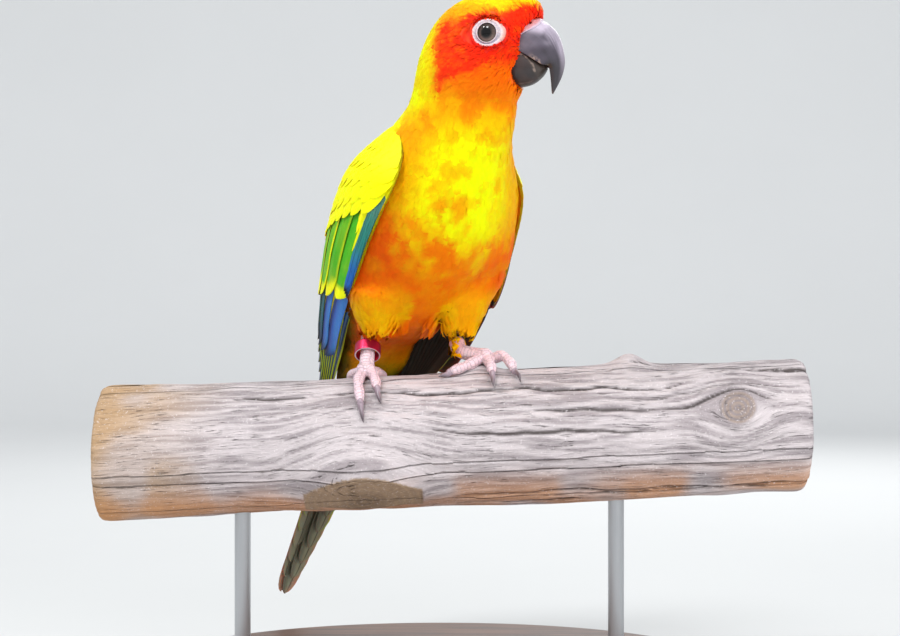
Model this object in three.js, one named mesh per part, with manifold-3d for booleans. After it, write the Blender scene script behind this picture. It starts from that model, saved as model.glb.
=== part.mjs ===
// A sun conure as a still, life-size display model: the bird grips a short
// cut length of weathered log, which two rods carry above a flat oval base.
// Millimetres, +Z up. The origin is the centre of the underside of the base,
// X runs along the log and the bird looks out over -Y.
import * as THREE from 'three';
import { mergeVertices } from 'three/addons/utils/BufferGeometryUtils.js';
import Module from 'manifold-3d';

const wasm = await Module();
wasm.setup();

// Driving dimensions
const GAP = 0.3; // air between pieces that touch
const FLESH_GAP = 0.4; // the same, where a faceted round meets a faceted round

const BASE = { length: 210, width: 150, height: 12, bevel: 2.5 };
const PERCH = {
  radius: 25,
  from: -126,
  to: 135,
  axisHeight: 93.4, // above the floor, over the origin
  slope: THREE.MathUtils.degToRad(2.35),
};
const ROD = { radius: 3, places: [-74, 66], socket: 8 };

const HEADING = THREE.MathUtils.degToRad(31); // the body turns from -Y toward +X
const HEAD_TURN = THREE.MathUtils.degToRad(41); // the head turns further, to the bird's left
const BIRD_X = -6; // where the bird's own origin stands along the log
const PERCH_TOP = PERCH.axisHeight + PERCH.radius;

// The body in its own mid plane: ahead and up give the middle of each section,
// measured from the top of the perch, and the rest its half sizes.
const BODY = [
  { ahead: -53, up: -6, half: 8.5, front: 5, back: 4.5 },
  { ahead: -44, up: 8, half: 13, front: 9, back: 8 },
  { ahead: -33, up: 21, half: 20, front: 15.5, back: 12 },
  { ahead: -20, up: 33, half: 26, front: 23, back: 17 },
  { ahead: -8, up: 46, half: 29.5, front: 27, back: 22 },
  { ahead: 3, up: 60, half: 31, front: 28.5, back: 26 },
  { ahead: 12, up: 73, half: 28.5, front: 26, back: 24.5 },
  { ahead: 19.5, up: 84, half: 23.5, front: 22, back: 20.5 },
  { ahead: 25, up: 94, half: 19, front: 19, back: 17 },
  { ahead: 27.5, up: 104, half: 17, front: 17.5, back: 15 },
];
const NECK_FROM = 91; // heights at which neck and head are parted
const HEAD_FROM = 102.5;
const SEGMENTS = { body: 24, bodyRings: 18, head: 22, headRings: 14, limb: 7 };

// The head by level sections, above and ahead of its own middle.
const HEAD = {
  side: -5.2,
  ahead: 35.8,
  up: 120.3,
  sections: [
    { up: -27, back: -27.5, front: 2, half: 13.5 },
    { up: -22, back: -27, front: 7.5, half: 15.6 },
    { up: -17, back: -26, front: 11.2, half: 16.8 },
    { up: -12, back: -25, front: 12.8, half: 17.2 },
    { up: -6, back: -23.8, front: 14.2, half: 16.9 },
    { up: 0, back: -22.2, front: 17.2, half: 16 },
    { up: 5.5, back: -19.4, front: 20.2, half: 14.4 },
    { up: 10, back: -15.6, front: 20.7, half: 12.4 },
    { up: 13.6, back: -10.2, front: 18.8, half: 9.8 },
    { up: 16.3, back: -3.6, front: 14.4, half: 6.2 },
  ],
  crown: { up: 17.7, ahead: 5.6 },
};
const EYE = { ahead: 4.6, up: 0.2, out: 11.2, radius: 4.9, detail: 14 };
const LID = { ahead: 5.1, up: 0.2, long: 5.4, tall: 4.6, tube: 0.9, out: 15.6 };

// Bill profiles in the head's mid plane: [ahead, up] from its middle.
const BILL = {
  culmen: [[14, 6.6], [20.6, 6.3], [26.2, 1.2], [28.7, -7], [28, -13.6], [25, -19.6]],
  tomium: [[10.4, -3.8], [13, -5.2], [16.4, -7.6], [21, -10.2], [23.4, -13], [24.4, -19.4]],
  upperHalf: [7.2, 7.4, 6.6, 5, 2.8, 0.5],
  gape: [[9.8, -6.3], [12.6, -7.4], [16, -9.6], [19.4, -11.6], [21.3, -12]],
  chin: [[8.6, -17.2], [12.8, -17.6], [17.2, -16.6], [20.2, -14.4], [21.9, -12.1]],
  lowerHalf: [6.6, 6.5, 5.6, 3.8, 1.2],
  nostril: { ahead: 15.9, up: 4.3, radius: 0.75 },
};

// The folded wing: its front edge along the breast and its edge on the back,
// as [side, ahead, up], with how far it bulges between them.
const WING = {
  front: [
    [19, 22, 91], [29, 22, 66], [29.2, 4, 43.6], [26, -15, 24.5],
    [20.5, -34.5, 5], [15, -55.5, -12], [9.5, -76.5, -28.5],
  ],
  rear: [
    [11, 5, 92.5], [6, -15.5, 79], [5, -31.5, 58], [5, -43, 38],
    [7.5, -55, 15.5], [9.5, -67, -4.5], [7, -79.5, -25],
  ],
  bulge: [3, 14, 14.5, 12, 7.5, 3.5, 1],
  thick: [4, 6, 5.4, 3.6, 2.4, 1.6, 1],
  plateEnd: 0.6, // share of the length that the arm and its coverts take
  shoulder: [0, 15, 80], // the left wing hangs lower and looser, turned about this point
  droop: THREE.MathUtils.degToRad(9),
  loose: THREE.MathUtils.degToRad(2.5),
};
const VANE = { thick: 0.55, rootDepth: -1.7 };
const SLIVER = 0.08; // triangles thinner than this are merged into their neighbours

const TAIL = {
  root: [0, -53.4, -6.6],
  down: new THREE.Vector3(0, -0.587, -0.809).normalize(),
  length: 114,
  pairs: 6,
  step: 0.92, // one feather under the next
};

const perchBumps = [
  { x: 14.5, angle: 0.05, high: 2.4, long: 7, round: 0.5 }, // under the left foot
  { x: 71, angle: 0.05, high: 4.4, long: 6.5, round: 0.3 }, // stub of a twig on top
  { x: -28, angle: 2.12, high: 7.4, long: 15, round: 0.5 }, // collar of the cut branch
  { x: 114, angle: 1.28, high: 1.5, long: 7, round: 0.34 }, // knot
];
const BRANCH_CUT = { // a flat sawn face, angle from the top toward the front
  x: -28,
  facing: THREE.MathUtils.degToRad(150),
  reach: 24.1,
  long: 44,
  wide: 60,
  deep: 20,
};

// Feathers of the folded wing in tiers: start and end give the root and tip of
// the first and last vane as [share of length, share of width].
const TIERS = [
  { // primaries
    count: 5, root: [[0.46, 0.14], [0.5, 0.44]], tip: [[0.985, 0.5], [0.76, 0.6]],
    half: [2.9, 3.3], low: -4.4, step: 0.85, tilt: 0.3,
  },
  { // secondaries
    count: 5, root: [[0.42, 0.3], [0.38, 0.9]], tip: [[0.715, 0.46], [0.59, 0.9]],
    half: [4.3, 5.1], low: -0.5, step: 0, tilt: 1.1,
  },
  { // primary coverts
    count: 2, root: [[0.15, 0.05], [0.2, 0.18]], tip: [[0.47, 0.06], [0.45, 0.18]],
    half: [2.9, 3.1], low: 0, step: 0, tilt: 1.1,
  },
  { // greater coverts
    count: 5, root: [[0.24, 0.3], [0.22, 0.92]], tip: [[0.48, 0.32], [0.48, 0.9]],
    half: [4.2, 5], low: 0.4, step: 0, tilt: 1.1,
  },
  { // median coverts
    count: 4, root: [[0.09, 0.2], [0.08, 0.86]], tip: [[0.27, 0.26], [0.31, 0.88]],
    half: [5, 6], low: 0.9, step: 0, tilt: 1.1,
  },
];

const TOE = {
  right: {
    heel: [-27, 6.2, 13.2],
    knee: [-27.1, 3.4, 10.4],
    palm: { x: -27.4, angle: 0.13, lift: 1.2 },
    toes: [
      {
        name: 'outer_front',
        path: [[-29.3, 0.24], [-30, 0.5], [-29.4, 0.72], [-28.9, 0.88]],
        claw: [[-28.6, 0.98], [-28, 1.12], [-27.5, 1.22]],
      },
      {
        name: 'inner_front',
        path: [[-25, 0.22], [-24, 0.42], [-23, 0.64]],
        claw: [[-22.6, 0.74], [-22, 0.85], [-21.4, 0.94]],
      },
      {
        name: 'outer_back',
        path: [[-31.4, -0.1], [-33.6, -0.34], [-34.2, -0.62], [-33.8, -0.82]],
        claw: [[-33.5, -0.93], [-33, -1.06], [-32.6, -1.16]],
      },
      {
        name: 'inner_back',
        path: [[-24.4, -0.08], [-22.4, -0.3], [-22, -0.52]],
        claw: [[-22, -0.63], [-22.2, -0.75], [-22.4, -0.85]],
      },
    ],
  },
  left: {
    heel: [6.2, 3.4, 11.4],
    knee: [8.2, 2.2, 8],
    palm: { x: 16.6, angle: 0.08, lift: 1.1 },
    toes: [
      {
        name: 'outer_front',
        path: [[20, 0.1, 1.4], [23.2, 0.2, 3.4], [26, 0.34, 2.2], [27, 0.42, 0.9]],
        claw: [[27.8, 0.47, 0.9], [29, 0.56, 0.9], [29.5, 0.68, 0.3]],
      },
      {
        name: 'inner_front',
        path: [[18, 0.2, 0.6], [18.8, 0.34, 0.6], [19.2, 0.46]],
        claw: [[19.4, 0.55], [19.5, 0.64], [19.5, 0.73]],
      },
      {
        name: 'outer_back',
        path: [[13.4, -0.16], [10, -0.42], [7, -0.66], [5, -0.82]],
        claw: [[4, -0.9], [2.6, -0.98], [1.4, -1.04]],
      },
      {
        name: 'inner_back',
        path: [[12.6, 0.2], [8.6, 0.27], [4.6, 0.33]],
        claw: [[3, 0.36], [1.2, 0.39], [-0.4, 0.42]],
      },
    ],
  },
  radius: 1.95,
};
const SHANK = { radius: 3.5 };
const CLAW = { radius: [1.35, 1.35, 1.15, 0.8, 0.3], clear: 2.6 * GAP };
const LEG_RING = { inner: 4.25, outer: 4.95, height: 4.4, along: 0.63 };

const THIGH = {
  right: { from: [17, -4, 34], half: [12.5, 9.6, 4.7] },
  left: { from: [-17, 0, 36], half: [12.5, 9.4, 4.7] },
};

// Materials
function paint(colour, roughness, metalness = 0) {
  return new THREE.MeshStandardMaterial({ color: colour, roughness, metalness });
}

const MATERIALS = {
  face: paint(0xe8401c, 0.75),
  breast: paint(0xf78a12, 0.75),
  neck: paint(0xfba31a, 0.75),
  wing: paint(0xf2dc10, 0.7),
  tail: paint(0x4c5a35, 0.65),
  skin: paint(0xc98f8c, 0.6),
  claw: paint(0x77707a, 0.4),
  bill: paint(0x4a4350, 0.35),
  eye: paint(0x17130f, 0.1),
  ring: paint(0xc1506a, 0.35, 0.6),
  log: paint(0x9c908c, 0.85),
  base: paint(0x4a3023, 0.45),
  rod: paint(0x8d8d8f, 0.3, 0.9),
};

// Helpers for closed solids
function vector(p) {
  return p.isVector3 ? p : new THREE.Vector3(...p);
}

function fromTriangles(points, triangles) {
  const geometry = new THREE.BufferGeometry();
  const flat = points.flatMap((p) => [p.x, p.y, p.z]);
  geometry.setAttribute('position', new THREE.Float32BufferAttribute(flat, 3));
  geometry.setIndex(triangles.flat());
  return geometry;
}

function solidOf(source) {
  let geometry = source.clone();
  geometry.deleteAttribute('normal');
  geometry.deleteAttribute('uv');
  geometry = mergeVertices(geometry, 1e-4);
  const index = [...geometry.index.array];
  const places = geometry.attributes.position.array;
  const make = (order) => new wasm.Manifold(new wasm.Mesh({
    numProp: 3,
    vertProperties: new Float32Array(places),
    triVerts: new Uint32Array(order),
  }));
  const solid = make(index);
  if (solid.volume() > 0) return solid;
  for (let k = 0; k < index.length; k += 3) {
    [index[k + 1], index[k + 2]] = [index[k + 2], index[k + 1]];
  }
  return make(index);
}

function geometryOf(solid) {
  const mesh = solid.getMesh();
  const geometry = new THREE.BufferGeometry();
  geometry.setAttribute('position', new THREE.BufferAttribute(new Float32Array(mesh.vertProperties), 3));
  geometry.setIndex(new THREE.BufferAttribute(new Uint32Array(mesh.triVerts), 1));
  geometry.computeVertexNormals();
  return geometry;
}

// The largest closed surface of a solid, without slivers
function largest(solid) {
  const pieces = solid.simplify(SLIVER).decompose();
  return pieces.reduce((best, piece) => (piece.volume() > best.volume() ? piece : best));
}

function join(solids) {
  return largest(wasm.Manifold.union(solids));
}

function part(name, solid, material) {
  const mesh = new THREE.Mesh(geometryOf(solid), material);
  mesh.name = name;
  return mesh;
}

// Rings of equally many points joined into one closed skin, with a fan at each end
function loft(rings, startTip = null, endTip = null) {
  const sides = rings[0].length;
  const points = rings.flat();
  const triangles = [];
  for (let r = 0; r + 1 < rings.length; r += 1) {
    for (let k = 0; k < sides; k += 1) {
      const next = (k + 1) % sides;
      const a = r * sides + k;
      const b = r * sides + next;
      triangles.push([a, b, b + sides], [a, b + sides, a + sides]);
    }
  }
  const middle = (ring) => ring.reduce((sum, p) => sum.add(p), new THREE.Vector3()).divideScalar(sides);
  points.push(startTip ?? middle(rings[0]), endTip ?? middle(rings[rings.length - 1]));
  const first = points.length - 2;
  const last = (rings.length - 1) * sides;
  for (let k = 0; k < sides; k += 1) {
    const next = (k + 1) % sides;
    triangles.push([first, next, k], [first + 1, last + k, last + next]);
  }
  return fromTriangles(points, triangles);
}

// A round limb along a smooth path, with a radius at each given point
function limb(path, radii, rings = 3 * path.length, sides = SEGMENTS.limb) {
  const curve = new THREE.CatmullRomCurve3(path.map(vector), false, 'centripetal');
  const around = [];
  let across = new THREE.Vector3(0.31, 0.23, 0.92);
  for (let r = 0; r <= rings; r += 1) {
    const t = r / rings;
    const along = curve.getTangent(t);
    across = across.sub(along.clone().multiplyScalar(across.dot(along))).normalize();
    const other = along.clone().cross(across);
    const radius = sample(radii, t);
    around.push(Array.from({ length: sides }, (_, k) => {
      const turn = (2 * Math.PI * k) / sides;
      return curve.getPoint(t)
        .addScaledVector(across, radius * Math.cos(turn))
        .addScaledVector(other, radius * Math.sin(turn));
    }));
  }
  return loft(around);
}

// A smooth value through evenly spaced ones
function sample(values, t) {
  const span = values.length - 1;
  const place = Math.min(Math.max(t * span, 0), span - 1e-9);
  const k = Math.floor(place);
  const at = (i) => values[Math.min(Math.max(i, 0), span)];
  const f = place - k;
  const [a, b, c, d] = [at(k - 1), at(k), at(k + 1), at(k + 2)];
  return b + 0.5 * f * (c - a + f * (2 * a - 5 * b + 4 * c - d + f * (3 * (b - c) + d - a)));
}

function samplePoint(points, t) {
  return new THREE.Vector3(...[0, 1, 2].map((axis) => sample(points.map((p) => p[axis]), t)));
}

// Body, neck and head
function bodyRing(t, grow) {
  const value = (key, at = t) => sample(BODY.map((row) => row[key]), at);
  const step = 0.01;
  const along = new THREE.Vector3(
    0,
    value('ahead', t + step) - value('ahead', t - step),
    value('up', t + step) - value('up', t - step),
  ).normalize();
  const forward = new THREE.Vector3(0, along.z, -along.y);
  const middle = new THREE.Vector3(0, value('ahead'), value('up'));
  const half = value('half') + grow;
  return Array.from({ length: SEGMENTS.body }, (_, k) => {
    const turn = (2 * Math.PI * k) / SEGMENTS.body;
    const deep = (Math.sin(turn) > 0 ? value('front') : value('back')) + grow;
    return middle.clone()
      .addScaledVector(new THREE.Vector3(1, 0, 0), half * Math.cos(turn))
      .addScaledVector(forward, deep * Math.sin(turn));
  });
}

function bodySolid(grow = 0) {
  const count = SEGMENTS.bodyRings;
  const rings = Array.from({ length: count + 1 }, (_, r) => bodyRing(r / count, grow));
  return solidOf(loft(rings));
}

const headOrigin = new THREE.Vector3(HEAD.side, HEAD.ahead, HEAD.up);
const headAhead = new THREE.Vector3(-Math.sin(HEAD_TURN), Math.cos(HEAD_TURN), 0);
const headRight = new THREE.Vector3(Math.cos(HEAD_TURN), Math.sin(HEAD_TURN), 0);
const upward = new THREE.Vector3(0, 0, 1);

function inHead(side, ahead, up) {
  return headOrigin.clone()
    .addScaledVector(headRight, side)
    .addScaledVector(headAhead, ahead)
    .addScaledVector(upward, up);
}

function headSolid() {
  const count = SEGMENTS.headRings;
  const rings = Array.from({ length: count + 1 }, (_, r) => {
    const value = (key) => sample(HEAD.sections.map((row) => row[key]), r / count);
    return Array.from({ length: SEGMENTS.head }, (_, k) => {
      const turn = (2 * Math.PI * k) / SEGMENTS.head;
      const middle = (value('front') + value('back')) / 2;
      const reach = (value('front') - value('back')) / 2;
      // squarer at the face, where the cheeks run forward to the bill
      const fuller = 1 + 0.1 * Math.max(Math.cos(turn), 0) * Math.abs(Math.sin(turn));
      const out = value('half') * Math.sin(turn) * fuller;
      return inHead(out, middle + reach * Math.cos(turn) * fuller, value('up'));
    });
  });
  return solidOf(loft(rings, null, inHead(0, HEAD.crown.ahead, HEAD.crown.up)));
}

// A bill half between its outer and inner profile
function billSolid(outer, inner, halves, grow = 0) {
  const count = 11;
  const rings = Array.from({ length: count + 1 }, (_, r) => {
    const t = r / count;
    const a = [0, 1].map((axis) => sample(outer.map((p) => p[axis]), t));
    const b = [0, 1].map((axis) => sample(inner.map((p) => p[axis]), t));
    const middle = [(a[0] + b[0]) / 2, (a[1] + b[1]) / 2];
    const reach = Math.hypot(a[0] - b[0], a[1] - b[1]) / 2;
    const way = [(a[0] - b[0]) / (2 * reach), (a[1] - b[1]) / (2 * reach)];
    const half = sample(halves, t) + grow;
    const back = r === 0 ? 1.3 * grow : 0;
    return Array.from({ length: 12 }, (_, k) => {
      const turn = (2 * Math.PI * k) / 12;
      const deep = (reach + grow) * Math.cos(turn);
      const wide = half * Math.sin(turn) * (1 - 0.12 * Math.cos(turn));
      return inHead(wide, middle[0] - back + way[0] * deep, middle[1] + way[1] * deep);
    });
  });
  return solidOf(loft(rings));
}

function ball(centre, radius, detail) {
  const geometry = new THREE.SphereGeometry(radius, detail, Math.round(detail * 0.7));
  geometry.translate(centre.x, centre.y, centre.z);
  return solidOf(geometry);
}

// The bare rim of the lids: an oval ring lying on the side of the head
function lidSolid(side) {
  const count = 20;
  const curve = new THREE.CatmullRomCurve3(Array.from({ length: count }, (_, k) => {
    const turn = (2 * Math.PI * k) / count;
    const ahead = LID.ahead + LID.long * Math.cos(turn);
    const up = LID.up + LID.tall * Math.sin(turn);
    const sink = 0.055 * (ahead - EYE.ahead) ** 2 * (ahead > EYE.ahead ? 1 : 0.35) + 0.03 * up * up;
    return inHead(side * (LID.out - sink), ahead, up);
  }), true);
  const rings = Array.from({ length: count }, (_, k) => {
    const t = k / count;
    const along = curve.getTangent(t);
    const out = headRight.clone().multiplyScalar(side);
    const across = along.clone().cross(out).normalize();
    return Array.from({ length: 6 }, (_, j) => {
      const turn = (2 * Math.PI * j) / 6;
      return curve.getPoint(t)
        .addScaledVector(across, LID.tube * 1.25 * Math.cos(turn))
        .addScaledVector(out, LID.tube * Math.sin(turn));
    });
  });
  const triangles = [];
  for (let r = 0; r < count; r += 1) {
    for (let j = 0; j < 6; j += 1) {
      const a = r * 6 + j;
      const b = r * 6 + ((j + 1) % 6);
      const c = ((r + 1) % count) * 6 + ((j + 1) % 6);
      const d = ((r + 1) % count) * 6 + j;
      triangles.push([a, b, c], [a, c, d]);
    }
  }
  return solidOf(fromTriangles(rings.flat(), triangles));
}

// The folded wing's own surface: share of length, share of width, height above it
function wingFrame(t) {
  const front = samplePoint(WING.front, t);
  const rear = samplePoint(WING.rear, t);
  const step = 0.01;
  const before = samplePoint(WING.front, Math.max(t - step, 0));
  const along = samplePoint(WING.front, Math.min(t + step, 1)).sub(before);
  const across = rear.clone().sub(front);
  const out = along.cross(across).normalize();
  if (out.x < 0) out.negate();
  return { front, across, out, bulge: sample(WING.bulge, t) };
}

function wingSurface(t, c) {
  const { front, across, out, bulge } = wingFrame(t);
  const inside = Math.max(4 * c * (1 - c), 0);
  return front.clone().addScaledVector(across, c).addScaledVector(out, bulge * inside ** 0.8);
}

function wingPoint(t, c, height) {
  const step = 0.012;
  const alongWing = wingSurface(Math.min(t + step, 1), c).sub(wingSurface(Math.max(t - step, 0), c));
  const low = Math.min(Math.max(c, 0.06), 0.94);
  const acrossWing = wingSurface(t, low + step).sub(wingSurface(t, low - step));
  const normal = alongWing.cross(acrossWing).normalize();
  if (normal.x < 0) normal.negate();
  return wingSurface(t, c).addScaledVector(normal, height);
}

function wingWidth(t) {
  let width = 0;
  for (let k = 0; k < 6; k += 1) {
    width += wingSurface(t, k / 6).distanceTo(wingSurface(t, (k + 1) / 6));
  }
  return width;
}

function wingPlate() {
  const count = 9;
  const columns = 9;
  const rings = Array.from({ length: count + 1 }, (_, r) => {
    const t = (WING.plateEnd * r) / count;
    const narrow = 0.5 * Math.max(r / count - 0.7, 0);
    const thick = sample(WING.thick, t);
    const across = Array.from({ length: columns }, (_, k) => narrow + ((1 - 2 * narrow) * k) / (columns - 1));
    const outer = across.map((c) => wingPoint(t, c, -0.2));
    const inner = across.map((c) => wingPoint(t, c, -thick * (0.5 + 2 * c * (1 - c))));
    return [...outer, ...inner.reverse()];
  });
  return solidOf(loft(rings));
}

// A flat vane as a grid of rows and three columns, split alike on both faces
function vaneSolid(place, rows) {
  const top = [];
  const bottom = [];
  for (let r = 0; r < rows.length; r += 1) {
    for (const column of [-1, 0, 1]) {
      top.push(place(rows[r], column, VANE.thick / 2));
      bottom.push(place(rows[r], column, -VANE.thick / 2));
    }
  }
  const under = top.length;
  const triangles = [];
  const quad = (a, b, c, d) => triangles.push([a, b, c], [a, c, d]);
  for (let r = 0; r + 1 < rows.length; r += 1) {
    for (let k = 0; k < 2; k += 1) {
      const a = 3 * r + k;
      triangles.push([a, a + 1, a + 4], [a, a + 4, a + 3]);
      triangles.push([under + a, under + a + 4, under + a + 1], [under + a, under + a + 3, under + a + 4]);
    }
    const left = 3 * r;
    const right = 3 * r + 2;
    quad(left, left + 3, under + left + 3, under + left);
    quad(right + 3, right, under + right, under + right + 3);
  }
  const last = 3 * (rows.length - 1);
  for (let k = 0; k < 2; k += 1) {
    quad(k + 1, k, under + k, under + k + 1);
    quad(last + k, last + k + 1, under + last + k + 1, under + last + k);
  }
  return solidOf(fromTriangles([...top, ...bottom], triangles));
}

const VANE_ROWS = [
  { along: 0, width: 0.75 },
  { along: 0.3, width: 0.95 },
  { along: 0.66, width: 1 },
  { along: 0.9, width: 0.8 },
  { along: 1, width: 0.3 },
];

function wingVanes() {
  const vanes = [];
  for (const tier of TIERS) {
    for (let k = 0; k < tier.count; k += 1) {
      const share = k / (tier.count - 1);
      const blend = (ends) => ends[0].map((v, axis) => v + (ends[1][axis] - v) * share);
      const root = blend(tier.root);
      const tip = blend(tier.tip);
      const half = tier.half[0] + (tier.half[1] - tier.half[0]) * share;
      vanes.push(vaneSolid((row, column, height) => {
        const t = root[0] + (tip[0] - root[0]) * row.along;
        const c = root[1] + (tip[1] - root[1]) * row.along + (column * half * row.width) / wingWidth(t);
        const risen = Math.min(row.along / VANE_ROWS[1].along, 1);
        const layer = VANE.rootDepth + (tier.low + tier.step * k - VANE.rootDepth) * risen;
        const tilt = -0.5 * tier.tilt * column;
        return wingPoint(t, Math.min(Math.max(c, -0.02), 1.02), layer + tilt + height);
      }, VANE_ROWS));
    }
  }
  return vanes;
}

// Tail: a sheath of coverts with twelve long graduated feathers in six pairs
function tailSolid() {
  const root = vector(TAIL.root);
  const side = new THREE.Vector3(1, 0, 0);
  const top = side.clone().cross(TAIL.down).normalize();
  if (top.z < 0) top.negate();
  const at = (across, along, height) => root.clone()
    .addScaledVector(side, across)
    .addScaledVector(TAIL.down, along)
    .addScaledVector(top, height);
  const sheath = [[0, 8.2, 4.6], [8, 8.6, 4.4], [18, 8.4, 3.8], [28, 7.6, 2.9], [38, 5.4, 1.7]].map(
    ([along, half, high]) => Array.from({ length: 14 }, (_, k) => {
      const turn = (2 * Math.PI * k) / 14;
      return at(half * Math.cos(turn), along, high * Math.sin(turn) - 0.4);
    }),
  );
  const feathers = [];
  for (let k = 0; k < TAIL.pairs; k += 1) {
    for (const hand of [-1, 1]) {
      const length = TAIL.length * (1 - 0.085 * k) + (hand > 0 ? 0 : 1.2);
      const half = 4.9 - 0.22 * k;
      const offset = hand * (1.6 + 1.15 * k);
      const deep = 1.9 - TAIL.step * k - (hand > 0 ? 0 : TAIL.step / 2);
      feathers.push(vaneSolid((row, column, height) => {
        const along = 5 + (length - 5) * row.along;
        const gather = 1 - 0.35 * row.along;
        const across = offset * gather + column * half * row.width * (1 - 0.18 * row.along);
        const droop = -0.012 * across * across;
        const sunk = (1 - row.along) * -deep * 0.6 + deep;
        return at(across, along, sunk + droop + height);
      }, VANE_ROWS));
    }
  }
  return join([solidOf(loft(sheath)), ...feathers]);
}

// Perch: a slightly uneven log with a cut branch, a knot and a twig's stub
function perchRadius(x, angle) {
  let radius = PERCH.radius + 0.35 * Math.sin(x / 23) + 0.3 * Math.sin(2 * angle + x / 41);
  for (const bump of perchBumps) {
    const away = Math.atan2(Math.sin(angle - bump.angle), Math.cos(angle - bump.angle));
    radius += bump.high * Math.exp(-(((x - bump.x) / bump.long) ** 2) - (away / bump.round) ** 2);
  }
  return radius;
}

// A place on the log: angle runs from the top toward the front
function onPerch(x, angle, lift) {
  const radius = perchRadius(x, angle) + lift;
  return new THREE.Vector3(
    x,
    -radius * Math.sin(angle),
    PERCH.axisHeight + x * Math.tan(PERCH.slope) + radius * Math.cos(angle),
  );
}

function perchSolid() {
  const around = 24;
  const places = [];
  const steps = 26;
  for (let k = 0; k <= steps; k += 1) places.push(PERCH.from + ((PERCH.to - PERCH.from) * k) / steps);
  const turns = Array.from({ length: around }, (_, k) => (2 * Math.PI * k) / around);
  const rings = places.map((x) => turns.map((turn) => onPerch(x, turn, 0)));
  let log = solidOf(loft(rings));
  const { x: place, facing, reach, long, wide, deep } = BRANCH_CUT;
  const saw = new THREE.BoxGeometry(long, wide, deep);
  saw.translate(0, 0, reach + deep / 2);
  saw.rotateX(facing);
  saw.rotateY(-PERCH.slope);
  saw.translate(place, 0, PERCH.axisHeight + place * Math.tan(PERCH.slope));
  log = log.subtract(solidOf(saw));
  for (const x of ROD.places) log = log.subtract(rodSolid(x, GAP));
  return largest(log);
}

function rodTop(x) {
  return PERCH.axisHeight + x * Math.tan(PERCH.slope) - PERCH.radius + ROD.socket;
}

function rodSolid(x, grow = 0) {
  const top = rodTop(x) + grow;
  const bottom = BASE.height / 2 - grow;
  const geometry = new THREE.CylinderGeometry(ROD.radius + grow, ROD.radius + grow, top - bottom, 20);
  geometry.rotateX(Math.PI / 2);
  geometry.translate(x, 0, (top + bottom) / 2);
  return solidOf(geometry);
}

function baseSolid() {
  const outline = new THREE.Shape();
  outline.absellipse(0, 0, BASE.length / 2 - BASE.bevel, BASE.width / 2 - BASE.bevel, 0, 2 * Math.PI);
  const geometry = new THREE.ExtrudeGeometry(outline, {
    depth: BASE.height - BASE.bevel,
    bevelEnabled: true,
    bevelThickness: BASE.bevel,
    bevelSize: BASE.bevel,
    bevelSegments: 2,
    curveSegments: 16,
  });
  // a second bevel below the floor is trimmed off, so the underside is full and flat
  let solid = solidOf(geometry).trimByPlane([0, 0, 1], 0);
  for (const x of ROD.places) solid = solid.subtract(rodSolid(x, GAP));
  return largest(solid);
}

// Legs
function toeRun(path, lift) {
  return path.map(([x, angle, extra = 0]) => onPerch(x, angle, lift + extra));
}

function shankPath(side) {
  const leg = TOE[side];
  const palm = onPerch(leg.palm.x, leg.palm.angle, TOE.radius + FLESH_GAP + leg.palm.lift);
  return [leg.heel, leg.knee].map(([x, y, up]) => new THREE.Vector3(x, y, up + PERCH_TOP)).concat(palm);
}

function footPieces(side, grow = 0) {
  const path = shankPath(side);
  const palm = path[2].clone();
  path[0].addScaledVector(path[0].clone().sub(path[1]).normalize(), 1.5 * grow);
  const radii = [SHANK.radius, SHANK.radius - 0.3, SHANK.radius - 0.5].map((radius) => radius + grow);
  const pieces = [solidOf(limb(path, radii, 6, 10)), ball(palm, 3.05 + grow, 10)];
  const claws = [];
  for (const toe of TOE[side].toes) {
    const run = [palm, ...toeRun(toe.path, TOE.radius + FLESH_GAP)];
    const radius = [1.15, 1.02, 1.08, 0.9, 0.95].map((share) => share * TOE.radius + grow);
    pieces.push(solidOf(limb(run, radius, 6)));
    const [before, end] = run.slice(-2);
    const start = end.clone().addScaledVector(end.clone().sub(before).normalize(), CLAW.clear);
    const claw = [start, ...toeRun(toe.claw, CLAW.radius[0] + FLESH_GAP)];
    claws.push({ name: `claw_${side}_${toe.name}`, path: claw });
  }
  return { foot: join(pieces), claws };
}

const bird = new THREE.Group();
bird.position.set(BIRD_X, 0, PERCH_TOP);
bird.rotation.z = Math.PI + HEADING;
bird.updateMatrixWorld();

function toBird(point) {
  return bird.worldToLocal(point.clone());
}

function thighSolid(side, grow = 0) {
  const { from, half } = THIGH[side];
  const start = vector(from);
  const end = toBird(shankPath(side)[0]).lerp(start, 0.1);
  const mid = start.clone().lerp(end, 0.55).add(new THREE.Vector3(0, 1.5, 0));
  const way = end.clone().sub(start).normalize();
  start.addScaledVector(way, -grow);
  end.addScaledVector(way, grow);
  return solidOf(limb([start, mid, end], half.map((h) => h + grow), 8, 14));
}

function legRingSolid() {
  const { inner, outer, height, along } = LEG_RING;
  const profile = [[inner, 0], [outer, 0], [outer, height], [inner, height], [inner, 0]];
  const geometry = new THREE.LatheGeometry(profile.map((p) => new THREE.Vector2(...p)), 24);
  const shank = new THREE.CatmullRomCurve3(shankPath('right'), false, 'centripetal');
  const place = shank.getPoint(along);
  geometry.translate(0, -height / 2, 0);
  const turn = new THREE.Quaternion().setFromUnitVectors(new THREE.Vector3(0, 1, 0), shank.getTangent(along));
  geometry.applyQuaternion(turn);
  geometry.translate(place.x, place.y, place.z);
  return solidOf(geometry);
}

// Assembly
const model = new THREE.Group();
model.add(bird);

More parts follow.
